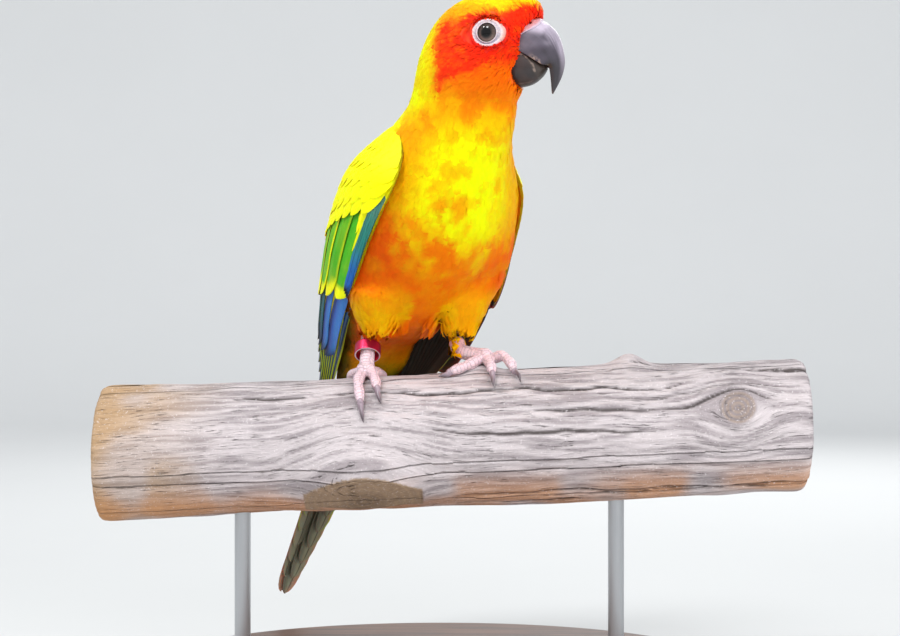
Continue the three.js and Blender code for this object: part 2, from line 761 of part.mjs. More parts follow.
const whole = wasm.Manifold.union([bodySolid(), headSolid()]);
const lids = [-1, 1].map((side) => lidSolid(side));
const eyes = [-1, 1].map((side) => inHead(side * EYE.out, EYE.ahead, EYE.up));
const upperBill = billSolid(BILL.culmen, BILL.tomium, BILL.upperHalf);
const lowerBill = billSolid(BILL.chin, BILL.gape, BILL.lowerHalf);
const billSeats = [
  billSolid(BILL.culmen, BILL.tomium, BILL.upperHalf, GAP),
  billSolid(BILL.chin, BILL.gape, BILL.lowerHalf, GAP),
];

let head = wasm.Manifold.union([whole, ...lids]).trimByPlane([0, 0, 1], HEAD_FROM + GAP / 2);
for (const seat of billSeats) head = head.subtract(seat);
for (const centre of eyes) head = head.subtract(ball(centre, EYE.radius + FLESH_GAP, EYE.detail));
const underHead = whole.trimByPlane([0, 0, -1], -(HEAD_FROM - GAP / 2));
const neck = underHead.trimByPlane([0, 0, 1], NECK_FROM + GAP / 2);
const torso = whole.trimByPlane([0, 0, -1], -(NECK_FROM - GAP / 2));

let upper = upperBill;
for (const side of [-1, 1]) {
  const hole = BILL.nostril;
  upper = upper.subtract(ball(inHead(side * 6.4, hole.ahead, hole.up), hole.radius * 2, 8));
}

bird.add(part('head', largest(head), MATERIALS.face));
bird.add(part('neck', largest(neck), MATERIALS.neck));
bird.add(part('bill_upper', largest(upper), MATERIALS.bill));
bird.add(part('bill_lower', lowerBill, MATERIALS.bill));
['left', 'right'].forEach((name, k) => {
  bird.add(part(`eye_${name}`, ball(eyes[k], EYE.radius, EYE.detail), MATERIALS.eye));
});

const fleshGrown = bodySolid(FLESH_GAP);
const wingRaw = join([wingPlate(), ...wingVanes()]);
const tail = tailSolid();

const wingClear = [fleshGrown];

for (const side of ['right', 'left']) {
  const { foot, claws } = footPieces(side);
  const shankSeat = footPieces(side, GAP).foot.transform(bird.matrixWorld.clone().invert().elements);
  const thigh = thighSolid(side).subtract(fleshGrown).subtract(shankSeat);
  wingClear.push(thighSolid(side, 2 * FLESH_GAP));
  bird.add(part(`thigh_${side}`, largest(thigh), MATERIALS.breast));
  model.add(part(`foot_${side}`, foot, MATERIALS.skin));
  for (const claw of claws) {
    model.add(part(claw.name, solidOf(limb(claw.path, CLAW.radius, 6, 6)), MATERIALS.claw));
  }
}
model.add(part('leg_ring', legRingSolid(), MATERIALS.ring));

function clearOfBody(wing) {
  return largest(wingClear.reduce((left, solid) => left.subtract(solid), wing));
}

function turnAbout(centre, rotation) {
  return new THREE.Matrix4().makeTranslation(...centre)
    .multiply(rotation)
    .multiply(new THREE.Matrix4().makeTranslation(...centre.map((v) => -v)));
}

const hanging = turnAbout([0, -58, 0], new THREE.Matrix4().makeRotationZ(WING.loose))
  .multiply(turnAbout(WING.shoulder, new THREE.Matrix4().makeRotationX(WING.droop)));
bird.add(part('torso', largest(torso), MATERIALS.breast));
bird.add(part('wing_right', clearOfBody(wingRaw), MATERIALS.wing));
const wingHanging = wingRaw.mirror([1, 0, 0]).transform(hanging.elements);
bird.add(part('wing_left', clearOfBody(wingHanging), MATERIALS.wing));
bird.add(part('tail', tail, MATERIALS.tail));

model.add(part('perch', perchSolid(), MATERIALS.log));
model.add(part('stand_base', baseSolid(), MATERIALS.base));
ROD.places.forEach((x, k) => {
  model.add(part(`stand_rod_${k + 1}`, rodSolid(x), MATERIALS.rod));
});

export default model;
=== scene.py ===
# %% [markdown]
# A sun conure, life size, gripping a short cut log on a display stand.
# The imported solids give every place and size. This script dresses them: one
# skin with a coat of small feathers, quills on wings and tail, and finely made
# bill, eyes, feet, claws, log and stand. Lengths are in millimetres. The bird's
# places are in its own frame (x to its right, y ahead, z up from the top of the
# perch), those of feet, log and stand in the row's frame, and the last step of
# each piece turns them into the row's metres.

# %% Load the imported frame
import math

import bmesh
import bpy
import numpy as np
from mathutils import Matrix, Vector
from mathutils.bvhtree import BVHTree
from mathutils.kdtree import KDTree


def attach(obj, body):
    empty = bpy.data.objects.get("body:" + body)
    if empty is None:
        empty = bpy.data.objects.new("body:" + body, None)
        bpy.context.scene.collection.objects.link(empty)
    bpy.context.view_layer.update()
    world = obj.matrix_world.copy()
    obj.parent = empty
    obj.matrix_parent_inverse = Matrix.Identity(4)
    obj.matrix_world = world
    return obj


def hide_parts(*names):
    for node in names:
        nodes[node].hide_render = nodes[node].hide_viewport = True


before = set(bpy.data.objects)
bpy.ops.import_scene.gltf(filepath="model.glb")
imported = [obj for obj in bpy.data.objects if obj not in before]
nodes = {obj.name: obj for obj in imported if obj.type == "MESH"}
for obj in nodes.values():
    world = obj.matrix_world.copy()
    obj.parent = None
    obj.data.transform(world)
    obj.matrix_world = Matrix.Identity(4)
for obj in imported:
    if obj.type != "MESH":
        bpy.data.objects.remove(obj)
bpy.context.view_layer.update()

# %% [markdown]
# Every place on the bird comes from a few facts that the solids share: where
# the bird stands on the log, which way the body and the head point, and the
# line of the body from the nape to the root of the tail.

# %% Places shared with the solids
MM = 0.001
TAU = math.tau
HEADING = math.radians(31)  # body, from -Y toward +X
HEAD_TURN = math.radians(41)  # head, further to the bird's left
BIRD_X = -6.0
LOG_RADIUS = 25.0
LOG_AXIS = 93.4
LOG_SLOPE = math.tan(math.radians(2.35))
LOG_ENDS = (-126.0, 135.0)
PERCH_TOP = LOG_AXIS + LOG_RADIUS
HEAD = np.array([-5.2, 35.8, 120.3])
SPINE = np.array([  # ahead, up, from the tail's root to the nape
    [-53, -6], [-44, 8], [-33, 21], [-20, 33], [-8, 46],
    [3, 60], [12, 73], [19.5, 84], [25, 94], [27.5, 104],
], float)
HEAD_AHEAD = np.array([-math.sin(HEAD_TURN), math.cos(HEAD_TURN), 0])
HEAD_RIGHT = np.array([math.cos(HEAD_TURN), math.sin(HEAD_TURN), 0])
UP = np.array([0.0, 0.0, 1.0])


BIRD_PLACE = np.array([BIRD_X, 0, PERCH_TOP])
BIRD_AXES = np.array([  # the bird's right, ahead and up, in the row's frame
    [-math.cos(HEADING), -math.sin(HEADING), 0],
    [math.sin(HEADING), -math.cos(HEADING), 0],
    [0, 0, 1],
])


def to_row(points):
    """Millimetres in the bird's frame to metres in the row's frame."""
    return MM * (points @ BIRD_AXES + BIRD_PLACE)


def to_bird(points):
    """Metres in the row's frame to millimetres in the bird's frame."""
    return (points / MM - BIRD_PLACE) @ BIRD_AXES.T


def in_row(points):
    """Millimetres in the row's frame to metres."""
    return points * MM


def in_head(side, ahead, up):
    """A place given sideways, ahead and up from the middle of the head."""
    side, ahead, up = np.broadcast_arrays(side, ahead, up)
    return HEAD + side[..., None] * HEAD_RIGHT + ahead[..., None] * HEAD_AHEAD + up[..., None] * UP


def head_place(points):
    """The same, the other way: (side, ahead, up) of points in the bird's frame."""
    away = points - HEAD
    return away @ HEAD_RIGHT, away @ HEAD_AHEAD, away[..., 2]


# %% [markdown]
# Shapes and colours are both worked out for thousands of points at once, from
# a handful of small rules: a smooth step, a smooth bump, a blend of two values,
# a curve through a few values, and soft patches that look grown, not drawn.

# %% Small tools for numbers
def unit(v):
    return v / np.maximum(np.linalg.norm(v, axis=-1, keepdims=True), 1e-9)


def ramp(value, low, high):
    """0 below low, 1 above high, smooth between; low may be the larger."""
    t = np.clip((value - low) / (high - low), 0, 1)
    return t * t * (3 - 2 * t)


def bell(value, middle, width):
    """1 at the middle, falling smoothly to nothing on both sides."""
    return np.exp(-(((value - middle) / width) ** 2))


def band(value, low, high, soft=0.08):
    """1 between low and high, 0 outside, with soft edges."""
    return ramp(value, low - soft, low + soft) * ramp(value, high + soft, high - soft)


def angle_from(angle, start):
    """The angle counted from start, within half a turn to either side."""
    return np.arctan2(np.sin(angle - start), np.cos(angle - start))


def mix(a, b, share):
    share = np.asarray(share)[..., None]
    return np.asarray(a) * (1 - share) + np.asarray(b) * share


def sample(values, t):
    """A smooth curve through evenly spaced values, at shares t of its length."""
    values, t = np.asarray(values, float), np.asarray(t, float)
    span = len(values) - 1
    place = np.clip(t * span, 0, span - 1e-9)
    k = np.floor(place).astype(int)
    f = place - k
    a, b, c, d = (values[np.clip(k + i, 0, span)] for i in (-1, 0, 1, 2))
    if values.ndim == 2:
        f = f[..., None]
    return b + 0.5 * f * (c - a + f * (2 * a - 5 * b + 4 * c - d + f * (3 * (b - c) + d - a)))


LATTICE = np.random.default_rng(7).random((32, 32, 32))


def mottle(points, size, shift=0.0):
    """Soft random patches of about the given size, from 0 to 1."""
    p = np.asarray(points, float) / size + shift
    k = np.floor(p).astype(int)
    f = p - k
    f = f * f * (3 - 2 * f)
    total = 0
    for corner in np.ndindex(2, 2, 2):
        i = (k + corner) % 32
        weight = np.prod(np.where(np.array(corner) == 1, f, 1 - f), axis=-1)
        total = total + weight * LATTICE[i[..., 0], i[..., 1], i[..., 2]]
    return total


def srgb(red, green, blue):
    """A colour as a screen shows it, 0 to 255, made linear."""
    c = np.array([red, green, blue]) / 255
    return np.where(c <= 0.04045, c / 12.92, ((c + 0.055) / 1.055) ** 2.4)


# %% [markdown]
# A material is written as an expression. A wrapped socket knows plus, minus
# and times, so `1 - mask` adds its own Math node. Anything that isn't maths
# comes from one method that takes a node's type, its settings and its inputs.

# %% Shader expressions
class Wire:
    """An output socket that maths can be done on."""

    def __init__(self, tree, socket):
        self.tree, self.socket = tree, socket

    def _math(self, operation, *values):
        node = self.tree.nodes.new("ShaderNodeMath")
        node.operation = operation
        for slot, value in zip(node.inputs, values):
            plug(self.tree, value, slot)
        return Wire(self.tree, node.outputs[0])

    def __add__(self, other):
        return self._math("ADD", self, other)

    def __sub__(self, other):
        return self._math("SUBTRACT", self, other)

    def __rsub__(self, other):
        return self._math("SUBTRACT", other, self)

    def __mul__(self, other):
        return self._math("MULTIPLY", self, other)

    def __truediv__(self, other):
        return self._math("DIVIDE", self, other)

    __radd__, __rmul__ = __add__, __mul__

    def least(self, other):
        return self._math("MINIMUM", self, other)

    def between(self, low, high):
        """0 at low, 1 at high, smooth and held outside."""
        node = self.tree.nodes.new("ShaderNodeMapRange")
        node.interpolation_type = "SMOOTHSTEP"
        for slot, value in zip(node.inputs, (self, low, high, 0.0, 1.0)):
            plug(self.tree, value, slot)
        return Wire(self.tree, node.outputs[0])


def plug(tree, value, slot):
    if isinstance(value, Wire):
        tree.links.new(value.socket, slot)
    elif isinstance(value, (tuple, list, np.ndarray)) and slot.type == "RGBA":
        slot.default_value = (*[float(v) for v in value[:3]], 1)
    elif isinstance(value, (tuple, list, np.ndarray)):
        slot.default_value = [float(v) for v in value]
    else:
        slot.default_value = value


class Finish:
    """A material with its Principled shader and a short way to add nodes."""

    def __init__(self, name, **fixed):
        self.material = bpy.data.materials.new(name)
        self.material.use_nodes = True
        self.tree = self.material.node_tree
        self.shader = self.tree.nodes["Principled BSDF"]
        self.set(**fixed)

    def set(self, **sockets):
        for name, value in sockets.items():
            plug(self.tree, value, self.shader.inputs[name.replace("_", " ")])

    def node(self, kind, output=0, settings=None, **inputs):
        made = self.tree.nodes.new("ShaderNode" + kind)
        for key, value in (settings or {}).items():
            setattr(made, key, value)
        for key, value in inputs.items():
            slots = [s for s in made.inputs if s.name == key.replace("_", " ") and s.enabled]
            plug(self.tree, value, slots[0])
        return Wire(self.tree, made.outputs[output])

    def place(self, scale=(1, 1, 1)):
        """Where a point is, in millimetres times scale."""
        spot = self.node("TexCoord", output="Object")
        return self.node("Mapping", Vector=spot, Scale=[s / MM for s in scale])

    def on_map(self, name, scale):
        """Where a point is on one of the piece's own maps, times scale."""
        spot = self.node("UVMap", settings={"uv_map": name})
        return self.node("Mapping", Vector=spot, Scale=scale)

    def attribute(self, name):
        return self.node("Attribute", output="Color", settings={"attribute_name": name})

    def noise(self, spot, scale=1.0, detail=3.0, roughness=0.55, twist=0.0):
        return self.node("TexNoise", output="Fac", Vector=spot, Scale=scale, Detail=detail,
                         Roughness=roughness, Distortion=twist)

    def cells(self, spot, scale=1.0, feature="F1", randomness=1.0):
        return self.node("TexVoronoi", output="Distance", settings={"feature": feature},
                         Vector=spot, Scale=scale, Randomness=randomness)

    def blend(self, first, second, share, kind="MIX"):
        made = self.tree.nodes.new("ShaderNodeMix")
        made.data_type, made.blend_type = "RGBA", kind
        for slot, value in zip([s for s in made.inputs if s.enabled], (share, first, second)):
            plug(self.tree, value, slot)
        return Wire(self.tree, [s for s in made.outputs if s.enabled][0])

    def shade(self, colour, amount):
        """A colour times a number that varies."""
        grey = self.node("CombineColor", Red=amount, Green=amount, Blue=amount)
        return self.blend(colour, grey, 1.0, "MULTIPLY")

    def relief(self, height, depth):
        """Bump of the given depth in millimetres where height goes from 0 to 1."""
        self.set(Normal=self.node("Bump", Height=height, Distance=depth * MM, Strength=1.0))


# %% [markdown]
# Two ways to make a mesh serve nearly everything here. A grid made by an
# operator is laid over a form by a rule, then its seam and poles are welded.
# For feathers, one thin closed vane is made once and repeated by numbers.

# %% Mesh tools
WELD = 2e-6  # metres within which the points of a seam or a pole become one


def bare_object(name, mesh):
    piece = bpy.data.objects.new(name, mesh)
    bpy.context.scene.collection.objects.link(piece)
    return piece


def get_points(mesh, what="co"):
    """The places of a mesh's points, or their normals."""
    flat = np.empty(len(mesh.vertices) * 3, np.float32)
    mesh.vertices.foreach_get(what, flat)
    return flat.reshape(-1, 3).astype(float)


def set_points(mesh, points):
    mesh.vertices.foreach_set("co", np.asarray(points, np.float32).ravel())
    mesh.update()


def loop_points(mesh):
    index = np.empty(len(mesh.loops), np.int32)
    mesh.loops.foreach_get("vertex_index", index)
    return index


def paint(mesh, name, colours):
    """Stores a colour for each point."""
    layer = mesh.color_attributes.new(name, "FLOAT_COLOR", "POINT")
    full = np.ones((len(mesh.vertices), 4), np.float32)
    full[:, :3] = colours
    layer.data.foreach_set("color", full.ravel())


def add_map(mesh, name, places):
    layer = mesh.uv_layers.new(name=name)
    layer.uv.foreach_set("vector", np.asarray(places, np.float32).ravel())


def apply_modifiers(piece):
    """Makes what the modifiers show the piece's own mesh."""
    shown = piece.evaluated_get(bpy.context.evaluated_depsgraph_get())
    piece.data = bpy.data.meshes.new_from_object(shown)
    piece.modifiers.clear()


def weld_skin(bm, name, voxel, passes):
    """One smooth skin over all the shells that a bmesh holds, by a voxel remesh."""
    mesh = bpy.data.meshes.new(name)
    bm.to_mesh(mesh)
    bm.free()
    piece = bare_object(name, mesh)
    remesh = piece.modifiers.new("weld", "REMESH")
    remesh.mode, remesh.voxel_size = "VOXEL", voxel * MM
    smooth = piece.modifiers.new("smooth", "SMOOTH")
    smooth.factor, smooth.iterations = 0.5, passes
    apply_modifiers(piece)
    return piece


def over_grid(name, along, around, place, colour=None, grain=None, frame_of=to_row):
    """Lays an along x around grid over place(a, b), welds it, and returns the piece."""
    bm = bmesh.new()
    bmesh.ops.create_grid(bm, x_segments=along, y_segments=around, size=0.5)
    mesh = bpy.data.meshes.new(name)
    bm.to_mesh(mesh)
    shares = get_points(mesh)[:, :2] + 0.5
    a, b = shares[:, 0], shares[:, 1]
    points = place(a, b)
    set_points(mesh, frame_of(points))
    if colour is not None:
        paint(mesh, "tint", colour(a, b, points))
    if grain is not None:
        add_map(mesh, "grain", grain(a, b)[loop_points(mesh)])
    bm.clear()
    bm.from_mesh(mesh)
    bmesh.ops.remove_doubles(bm, verts=bm.verts, dist=WELD)
    bmesh.ops.recalc_face_normals(bm, faces=bm.faces)
    for face in bm.faces:
        face.smooth = True
    bm.to_mesh(mesh)
    bm.free()
    return bare_object(name, mesh)


def finish_piece(piece, material, slot, *replaced):
    """Gives a piece its material, its body and what it stands for; slot is not used."""
    piece.data.materials.clear()
    piece.data.materials.append(material)
    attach(piece, "root")
    if replaced:
        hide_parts(*replaced)
    print(piece.name, len(piece.data.polygons), "faces")
    return piece


class Vane:
    """One thin closed vane, as a grid with its own thickness, to be repeated."""

    def __init__(self, columns, rows):
        bm = bmesh.new()
        bmesh.ops.create_grid(bm, x_segments=columns, y_segments=rows, size=1)
        bmesh.ops.solidify(bm, geom=bm.faces[:], thickness=1)
        bmesh.ops.recalc_face_normals(bm, faces=bm.faces)
        self.across, along, height = np.array([v.co[:] for v in bm.verts]).T
        self.row = np.rint((along + 1) / 2 * rows).astype(int)
        self.column = np.rint((self.across + 1) / 2 * columns).astype(int)
        self.under = (np.abs(height) > 0.5).astype(float)
        if height.max() > 0.5:  # the new wall came out above the grid
            self.under = 1 - self.under
        self.loops = np.concatenate([[v.index for v in f.verts] for f in bm.faces])
        self.sizes = np.array([len(f.verts) for f in bm.faces])
        # the rim is shaded flat, which leaves the top as smooth as the form under it
        self.smooth = np.array([np.ptp(self.under[[v.index for v in f.verts]]) < 0.5 for f in bm.faces])
        self.columns, self.rows = columns, rows
        bm.free()

    def inside_out(self, points):
        """Whether the faces of a vane point inwards, as a mirrored one's do."""
        place = points - points.mean(0)
        volume = 0
        for face in np.split(self.loops, np.cumsum(self.sizes)[:-1]):
            for k in range(1, len(face) - 1):
                volume += place[face[0]] @ np.cross(place[face[k]], place[face[k + 1]])
        return volume < 0

    def repeat(self, name, points, colours, vane_map, patch=None, normals=None):
        """One mesh of all vanes; points is (vanes, corners, 3) in the bird's frame."""
        count, corners = points.shape[:2]
        mesh = bpy.data.meshes.new(name)
        mesh.vertices.add(count * corners)
        set_points(mesh, to_row(points.reshape(-1, 3)))
        shift = np.arange(count)[:, None] * corners
        mesh.loops.add(count * len(self.loops))
        mesh.loops.foreach_set("vertex_index", (self.loops + shift).ravel().astype(np.int32))
        sizes = np.tile(self.sizes, count)
        mesh.polygons.add(len(sizes))
        mesh.polygons.foreach_set("loop_start", (np.cumsum(sizes) - sizes).astype(np.int32))
        mesh.update(calc_edges=True)
        mesh.polygons.foreach_set("use_smooth", np.tile(self.smooth, count))
        paint(mesh, "tint", colours.reshape(-1, 3))
        if patch is not None:
            add_map(mesh, "OFBake", patch[:, self.loops])
        add_map(mesh, "vane", vane_map[:, self.loops])
        mesh.validate()
        if self.inside_out(points[0]):
            mesh.flip_normals()
        if normals is not None:
            corner = loop_points(mesh)
            # the underside faces the other way, the rim goes with the top
            off_rim = np.tile(np.repeat(self.smooth, self.sizes), count)
            facing = 1 - 2 * self.under[corner % corners] * off_rim
            given = unit(normals.reshape(-1, 3) @ BIRD_AXES)
            mesh.normals_split_custom_set((given[corner] * facing[:, None]).astype(np.float32))
        return bare_object(name, mesh)


# %% [markdown]
# The camera stands where the photograph's stood: level, 65 cm off, with the
# bird's head against the upper edge. A key light above it to the left models
# the round forms, a smaller one further round sharpens them, a broad low one
# fills in from the right and one behind lifts the edges. The floor sweeps up
# into a pale wall.

# %% Camera, light and floor
CAMERA_PLACE = (0.00375, -0.650, 0.139)
LENS, SENSOR = 69.333, 36
AIM = Vector((0, 0, 0.14))
LAMPS = {  # place and width in metres, watts
    "key": ((-0.38, -0.73, 1.20), 0.34, 8.7),
    "side": ((-0.84, -0.28, 1.19), 0.18, 5.0),
    "fill": ((0.62, -0.96, 0.22), 0.9, 11.5),
    "back": ((0.35, 0.9, 0.8), 0.8, 5.0),
}
ROOM_TINT, ROOM_STRENGTH = (0.95, 0.97, 1, 1), 0.76
eye_of_camera = bpy.data.cameras.new("camera")
eye_of_camera.lens = LENS
eye_of_camera.sensor_width = SENSOR
camera = bpy.data.objects.new("camera", eye_of_camera)
camera.location = CAMERA_PLACE
camera.rotation_euler = (math.pi / 2, 0, 0)
bpy.context.scene.collection.objects.link(camera)
bpy.context.scene.camera = camera
bpy.context.scene.view_settings.view_transform = "Standard"


def area_light(name, place, size, watts):
    lamp = bpy.data.lights.new(name, "AREA")
    lamp.shape = "DISK"
    lamp.size = size
    lamp.energy = watts
    lit = bpy.data.objects.new(name, lamp)
    lit.location = place
    lit.visible_camera = False
    lit.visible_glossy = name != "fill"  # a broad lamp near the lens would grey the eye and the bill
    lit.rotation_euler = (AIM - Vector(place)).to_track_quat("-Z", "Y").to_euler()
    bpy.context.scene.collection.objects.link(lit)


for name, lamp_facts in LAMPS.items():
    area_light(name, *lamp_facts)
world = bpy.data.worlds.new("room")
world.use_nodes = True
room_light = world.node_tree.nodes["Background"].inputs
room_light["Color"].default_value = ROOM_TINT
room_light["Strength"].default_value = ROOM_STRENGTH
bpy.context.scene.world = world

FLOOR = {"half": 7.0, "wall": 1.6, "turn": 0.9, "rise": 3.0}  # metres
FLOOR_GREY, WALL_GREY = (0.60, 0.61, 0.61), (0.84, 0.85, 0.85)


def sweep(a, b):
    """The floor runs back, turns up on a quarter circle and becomes a wall."""
    flat, turn, quarter = FLOOR["half"] + FLOOR["wall"], FLOOR["turn"], math.pi / 2
    path = a * (flat + turn * quarter + FLOOR["rise"])
    bend = np.clip((path - flat) / turn, 0, quarter)
    rise = np.maximum(path - flat - turn * quarter, 0)
    y = -FLOOR["half"] + np.minimum(path, flat) + turn * np.sin(bend)
    z = turn * (1 - np.cos(bend)) + rise
    return np.stack([(b - 0.5) * 2 * FLOOR["half"], y, z], -1)


def floor_tint(a, b, points):
    """The wall gets less light than the floor, so it is painted paler."""
    return mix(FLOOR_GREY, WALL_GREY, ramp(points[:, 1], 0.1, 2.4) ** 0.7)


floor = over_grid("floor", 200, 2, sweep, colour=floor_tint, frame_of=lambda p: p)
pale = Finish("pale_floor", Roughness=0.9, Specular_IOR_Level=0.1)
pale.set(Base_Color=pale.shade(pale.attribute("tint"), 0.98 + 0.04 * pale.noise(pale.place(), 0.004)))
floor.data.materials.append(pale.material)

# %% [markdown]
# Under the feathers lies one skin. It is grown from the solids of head, neck,
# body and thighs, with a sleeve for the root of the tail, welded into a single
# smooth form and drawn in by the depth that the coat will fill.

# %% The skin
TAIL = {
    "root": np.array([0, -53.4, -6.6]),
    "down": unit(np.array([0, -0.587, -0.809])),
    "top": unit(np.array([0, -0.809, 0.587])),
    "length": 114.0,
}
SLEEVE = [  # half width and half height, from the tail's root down
    [8.3, 4.9], [8.9, 4.9], [8.6, 4.1], [7.6, 3.0], [6.4, 1.9], [5.4, 1.4], [4.6, 1.2],
]
SLEEVE_LENGTH, SLEEVE_INSIDE = 54.0, 6.0
VOXEL = 0.75
SWOLLEN = 0.35  # what each solid gains before the weld, so that the parted pieces touch
SKIN_PASSES, CREASE_PASSES = 10, 130
BODY_COAT, HEAD_COAT = 1.55, 1.1  # depth of the coat
FLESH = ("head", "neck", "torso", "thigh_right", "thigh_left")
EYE = {"side": 11.2, "ahead": 4.6, "up": 0.2, "ball": 4.9}
BARE = {"ahead": 3.9, "up": -0.1, "long": 7.9, "tall": 4.7}  # the naked ring round the eye


def at_tail(across, along, height):
    across, along, height = np.broadcast_arrays(across, along, height)
    side = np.array([1.0, 0, 0])
    return (TAIL["root"] + across[..., None] * side + along[..., None] * TAIL["down"]
            + height[..., None] * TAIL["top"])


def sleeve(a, b):
    half, high = np.moveaxis(sample(SLEEVE, a), -1, 0)
    open_end = np.sin(np.pi * np.clip(np.stack([a, 1 - a]).min(0) / 0.04, 0, 0.5))
    turn = TAU * b
    return at_tail(half * open_end * np.cos(turn), -SLEEVE_INSIDE + (SLEEVE_LENGTH + SLEEVE_INSIDE) * a,
                   high * open_end * np.sin(turn) - 0.5)


def weld_flesh():
    bm = bmesh.new()
    for name in FLESH:
        bm.from_mesh(nodes[name].data)
    bmesh.ops.remove_doubles(bm, verts=bm.verts, dist=1e-6)
    for vert in bm.verts:
        vert.normal_update()
    for vert in bm.verts:
        vert.co += vert.normal * SWOLLEN * MM
    sleeved = over_grid("sleeve", 30, 20, sleeve)
    bm.from_mesh(sleeved.data)
    bpy.data.objects.remove(sleeved)
    skin = weld_skin(bm, "skin", VOXEL, SKIN_PASSES)
    # the crease where a thigh leaves the belly is smoothed much further
    points = to_bird(get_points(skin.data))
    crease = ramp(points[:, 2], 20, 28) * ramp(points[:, 2], 60, 50) * (points[:, 1] > -14)
    group = skin.vertex_groups.new(name="crease")
    for k in np.flatnonzero(crease > 0.02):
        group.add([int(k)], float(crease[k]), "REPLACE")
    ease = skin.modifiers.new("ease", "SMOOTH")
    ease.factor, ease.iterations, ease.vertex_group = 0.5, CREASE_PASSES, "crease"
    apply_modifiers(skin)
    skin.vertex_groups.clear()
    return skin


def bare_share(points):
    """1 in the naked ring round the eye, 0 outside it."""
    side, ahead, up = head_place(points)
    far = np.hypot((ahead - BARE["ahead"]) / BARE["long"], (up - BARE["up"]) / BARE["tall"])
    return ramp(far, 1.12, 0.95) * (np.abs(side) > 7)


def coat_depth(points):
    """How deep the skin lies under the outline of the solids."""
    on_head = ramp(points[:, 2], 88, 108)
    _, ahead, up = head_place(points)
    near_bill = ramp(np.hypot(ahead - 14, up + 4), 14, 5) * on_head
    depth = BODY_COAT * (1 - on_head) + HEAD_COAT * on_head - 0.45 * near_bill
    return depth + 1.5 * bare_share(points)


SWELLINGS = (  # fuller throat, nape, left flank, right ankle and vent: middle, reach and push
    (in_head(0, 9.5, -22), 9.0, 2.9 * HEAD_AHEAD),
    (in_head(0, 6, -31), 11.0, 1.9 * HEAD_AHEAD),
    (in_head(2, -17, -13), 11.0, -1.6 * HEAD_AHEAD),
    ((-27.0, 18, 66), 15.0, (-2.0, 1.2, 0)),
    ((-25.5, 14, 44), 13.0, (-3.6, 2.2, 0)),
    ((-25.5, 13, 38), 8.0, (-2.8, 1.7, 0)),
    ((22.0, 3, 17), 8.0, (2.4, -1.4, 0)),
    ((-9.0, -38, 0), 9.0, (-7.0, 1.0, -2.0)),
    ((9.0, -38, 0), 9.0, (3.5, 1.0, -2.0)),
)


skin = weld_flesh()
skin_normals = get_points(skin.data, "normal") @ BIRD_AXES.T
skin_points = to_bird(get_points(skin.data))
skin_points -= coat_depth(skin_points)[:, None] * skin_normals
for centre, reach, push in SWELLINGS:
    near = bell(np.linalg.norm(skin_points - centre, axis=1), 0, reach)
    skin_points += near[:, None] * push
set_points(skin.data, to_row(skin_points))
bpy.context.view_layer.objects.active = skin
skin.select_set(True)
bpy.ops.object.mode_set(mode="EDIT")
bpy.ops.mesh.select_all(action="SELECT")
bpy.ops.uv.smart_project(angle_limit=math.radians(66), island_margin=0.004)
bpy.ops.object.mode_set(mode="OBJECT")
skin.data.uv_layers[0].name = "OFBake"
skin.data.shade_smooth()
print("skin", len(skin.data.polygons), "faces")

# %% [markdown]
# A conure's markings are a matter of place: red round the eye and bill, orange
# throat, a yellow breast mottled with orange, red-orange flanks and belly, and
# clear yellow over the nape and back. One rule gives the colour at any place,
# for the skin and for each feather that roots there.

# %% Plumage colours
YELLOW, GOLD, AMBER, ORANGE, RED_ORANGE = (srgb(255, green, 0) for green in (246, 206, 170, 128, 88))
RED, SCARLET = srgb(250, 40, 8), srgb(238, 16, 10)
OLIVE = srgb(140, 118, 10)


def head_colour(points):
    _, ahead, up = head_place(points)
    patchy = mottle(points, 3.6) - 0.5
    streaky = mottle(points * [1, 0.5, 1], 1.2, 9) - 0.5
    warm = mix(mix(AMBER, ORANGE, 0.5), mix(ORANGE, RED_ORANGE, 0.3), ramp(ahead + 8 * patchy, -18, -6))
    warm = mix(GOLD, warm, ramp(ahead + 6 * patchy, -18, -11))
    throat = mix(warm, RED_ORANGE, ramp(up + 6 * patchy - 0.15 * ahead, -27, -13) * ramp(ahead, -10, 4) * 0.8)
    crown = mix(mix(ORANGE, AMBER, 0.6), GOLD, ramp(up + 5 * patchy + 4 * streaky, 8.5, 14.5))
    crown = mix(crown, YELLOW, ramp(up + 6 * patchy, 13.5, 17) * 0.55)
    colour = mix(throat, crown, ramp(up - 0.05 * ahead + 2.5 * patchy, 6.0, 9.0))
    nape = ramp(ahead + 3 * patchy, -12.5, -19)
    colour = mix(colour, mix(GOLD, YELLOW, ramp(patchy, -0.2, 0.25)), nape)
    # red of the face: its lower edge runs down to the rear of the cheek
    lower = -11.0 + 0.4 * np.minimum(ahead - 6, 3)
    inside = ramp(up - lower + 6 * patchy, -3.4, 1.8) * ramp(up + 4 * patchy - 0.12 * ahead, 9.2, 5.0)
    inside = inside * ramp(ahead + 5 * patchy, -19.5, -12)
    red = mix(RED, RED_ORANGE, ramp(patchy + streaky, -0.15, 0.5) * 0.65)
    near_eye = ramp(np.hypot(ahead - 7, up + 1), 13, 6)
    red = mix(red, SCARLET, near_eye * 0.35)
    colour = mix(colour, red, inside)
    brow = ramp(np.hypot((ahead - 19) / 8, (up - 6.2) / 5.2), 1.15, 0.6)
    return mix(colour, mix(RED, SCARLET, ramp(patchy, -0.2, 0.3) * 0.6), brow)


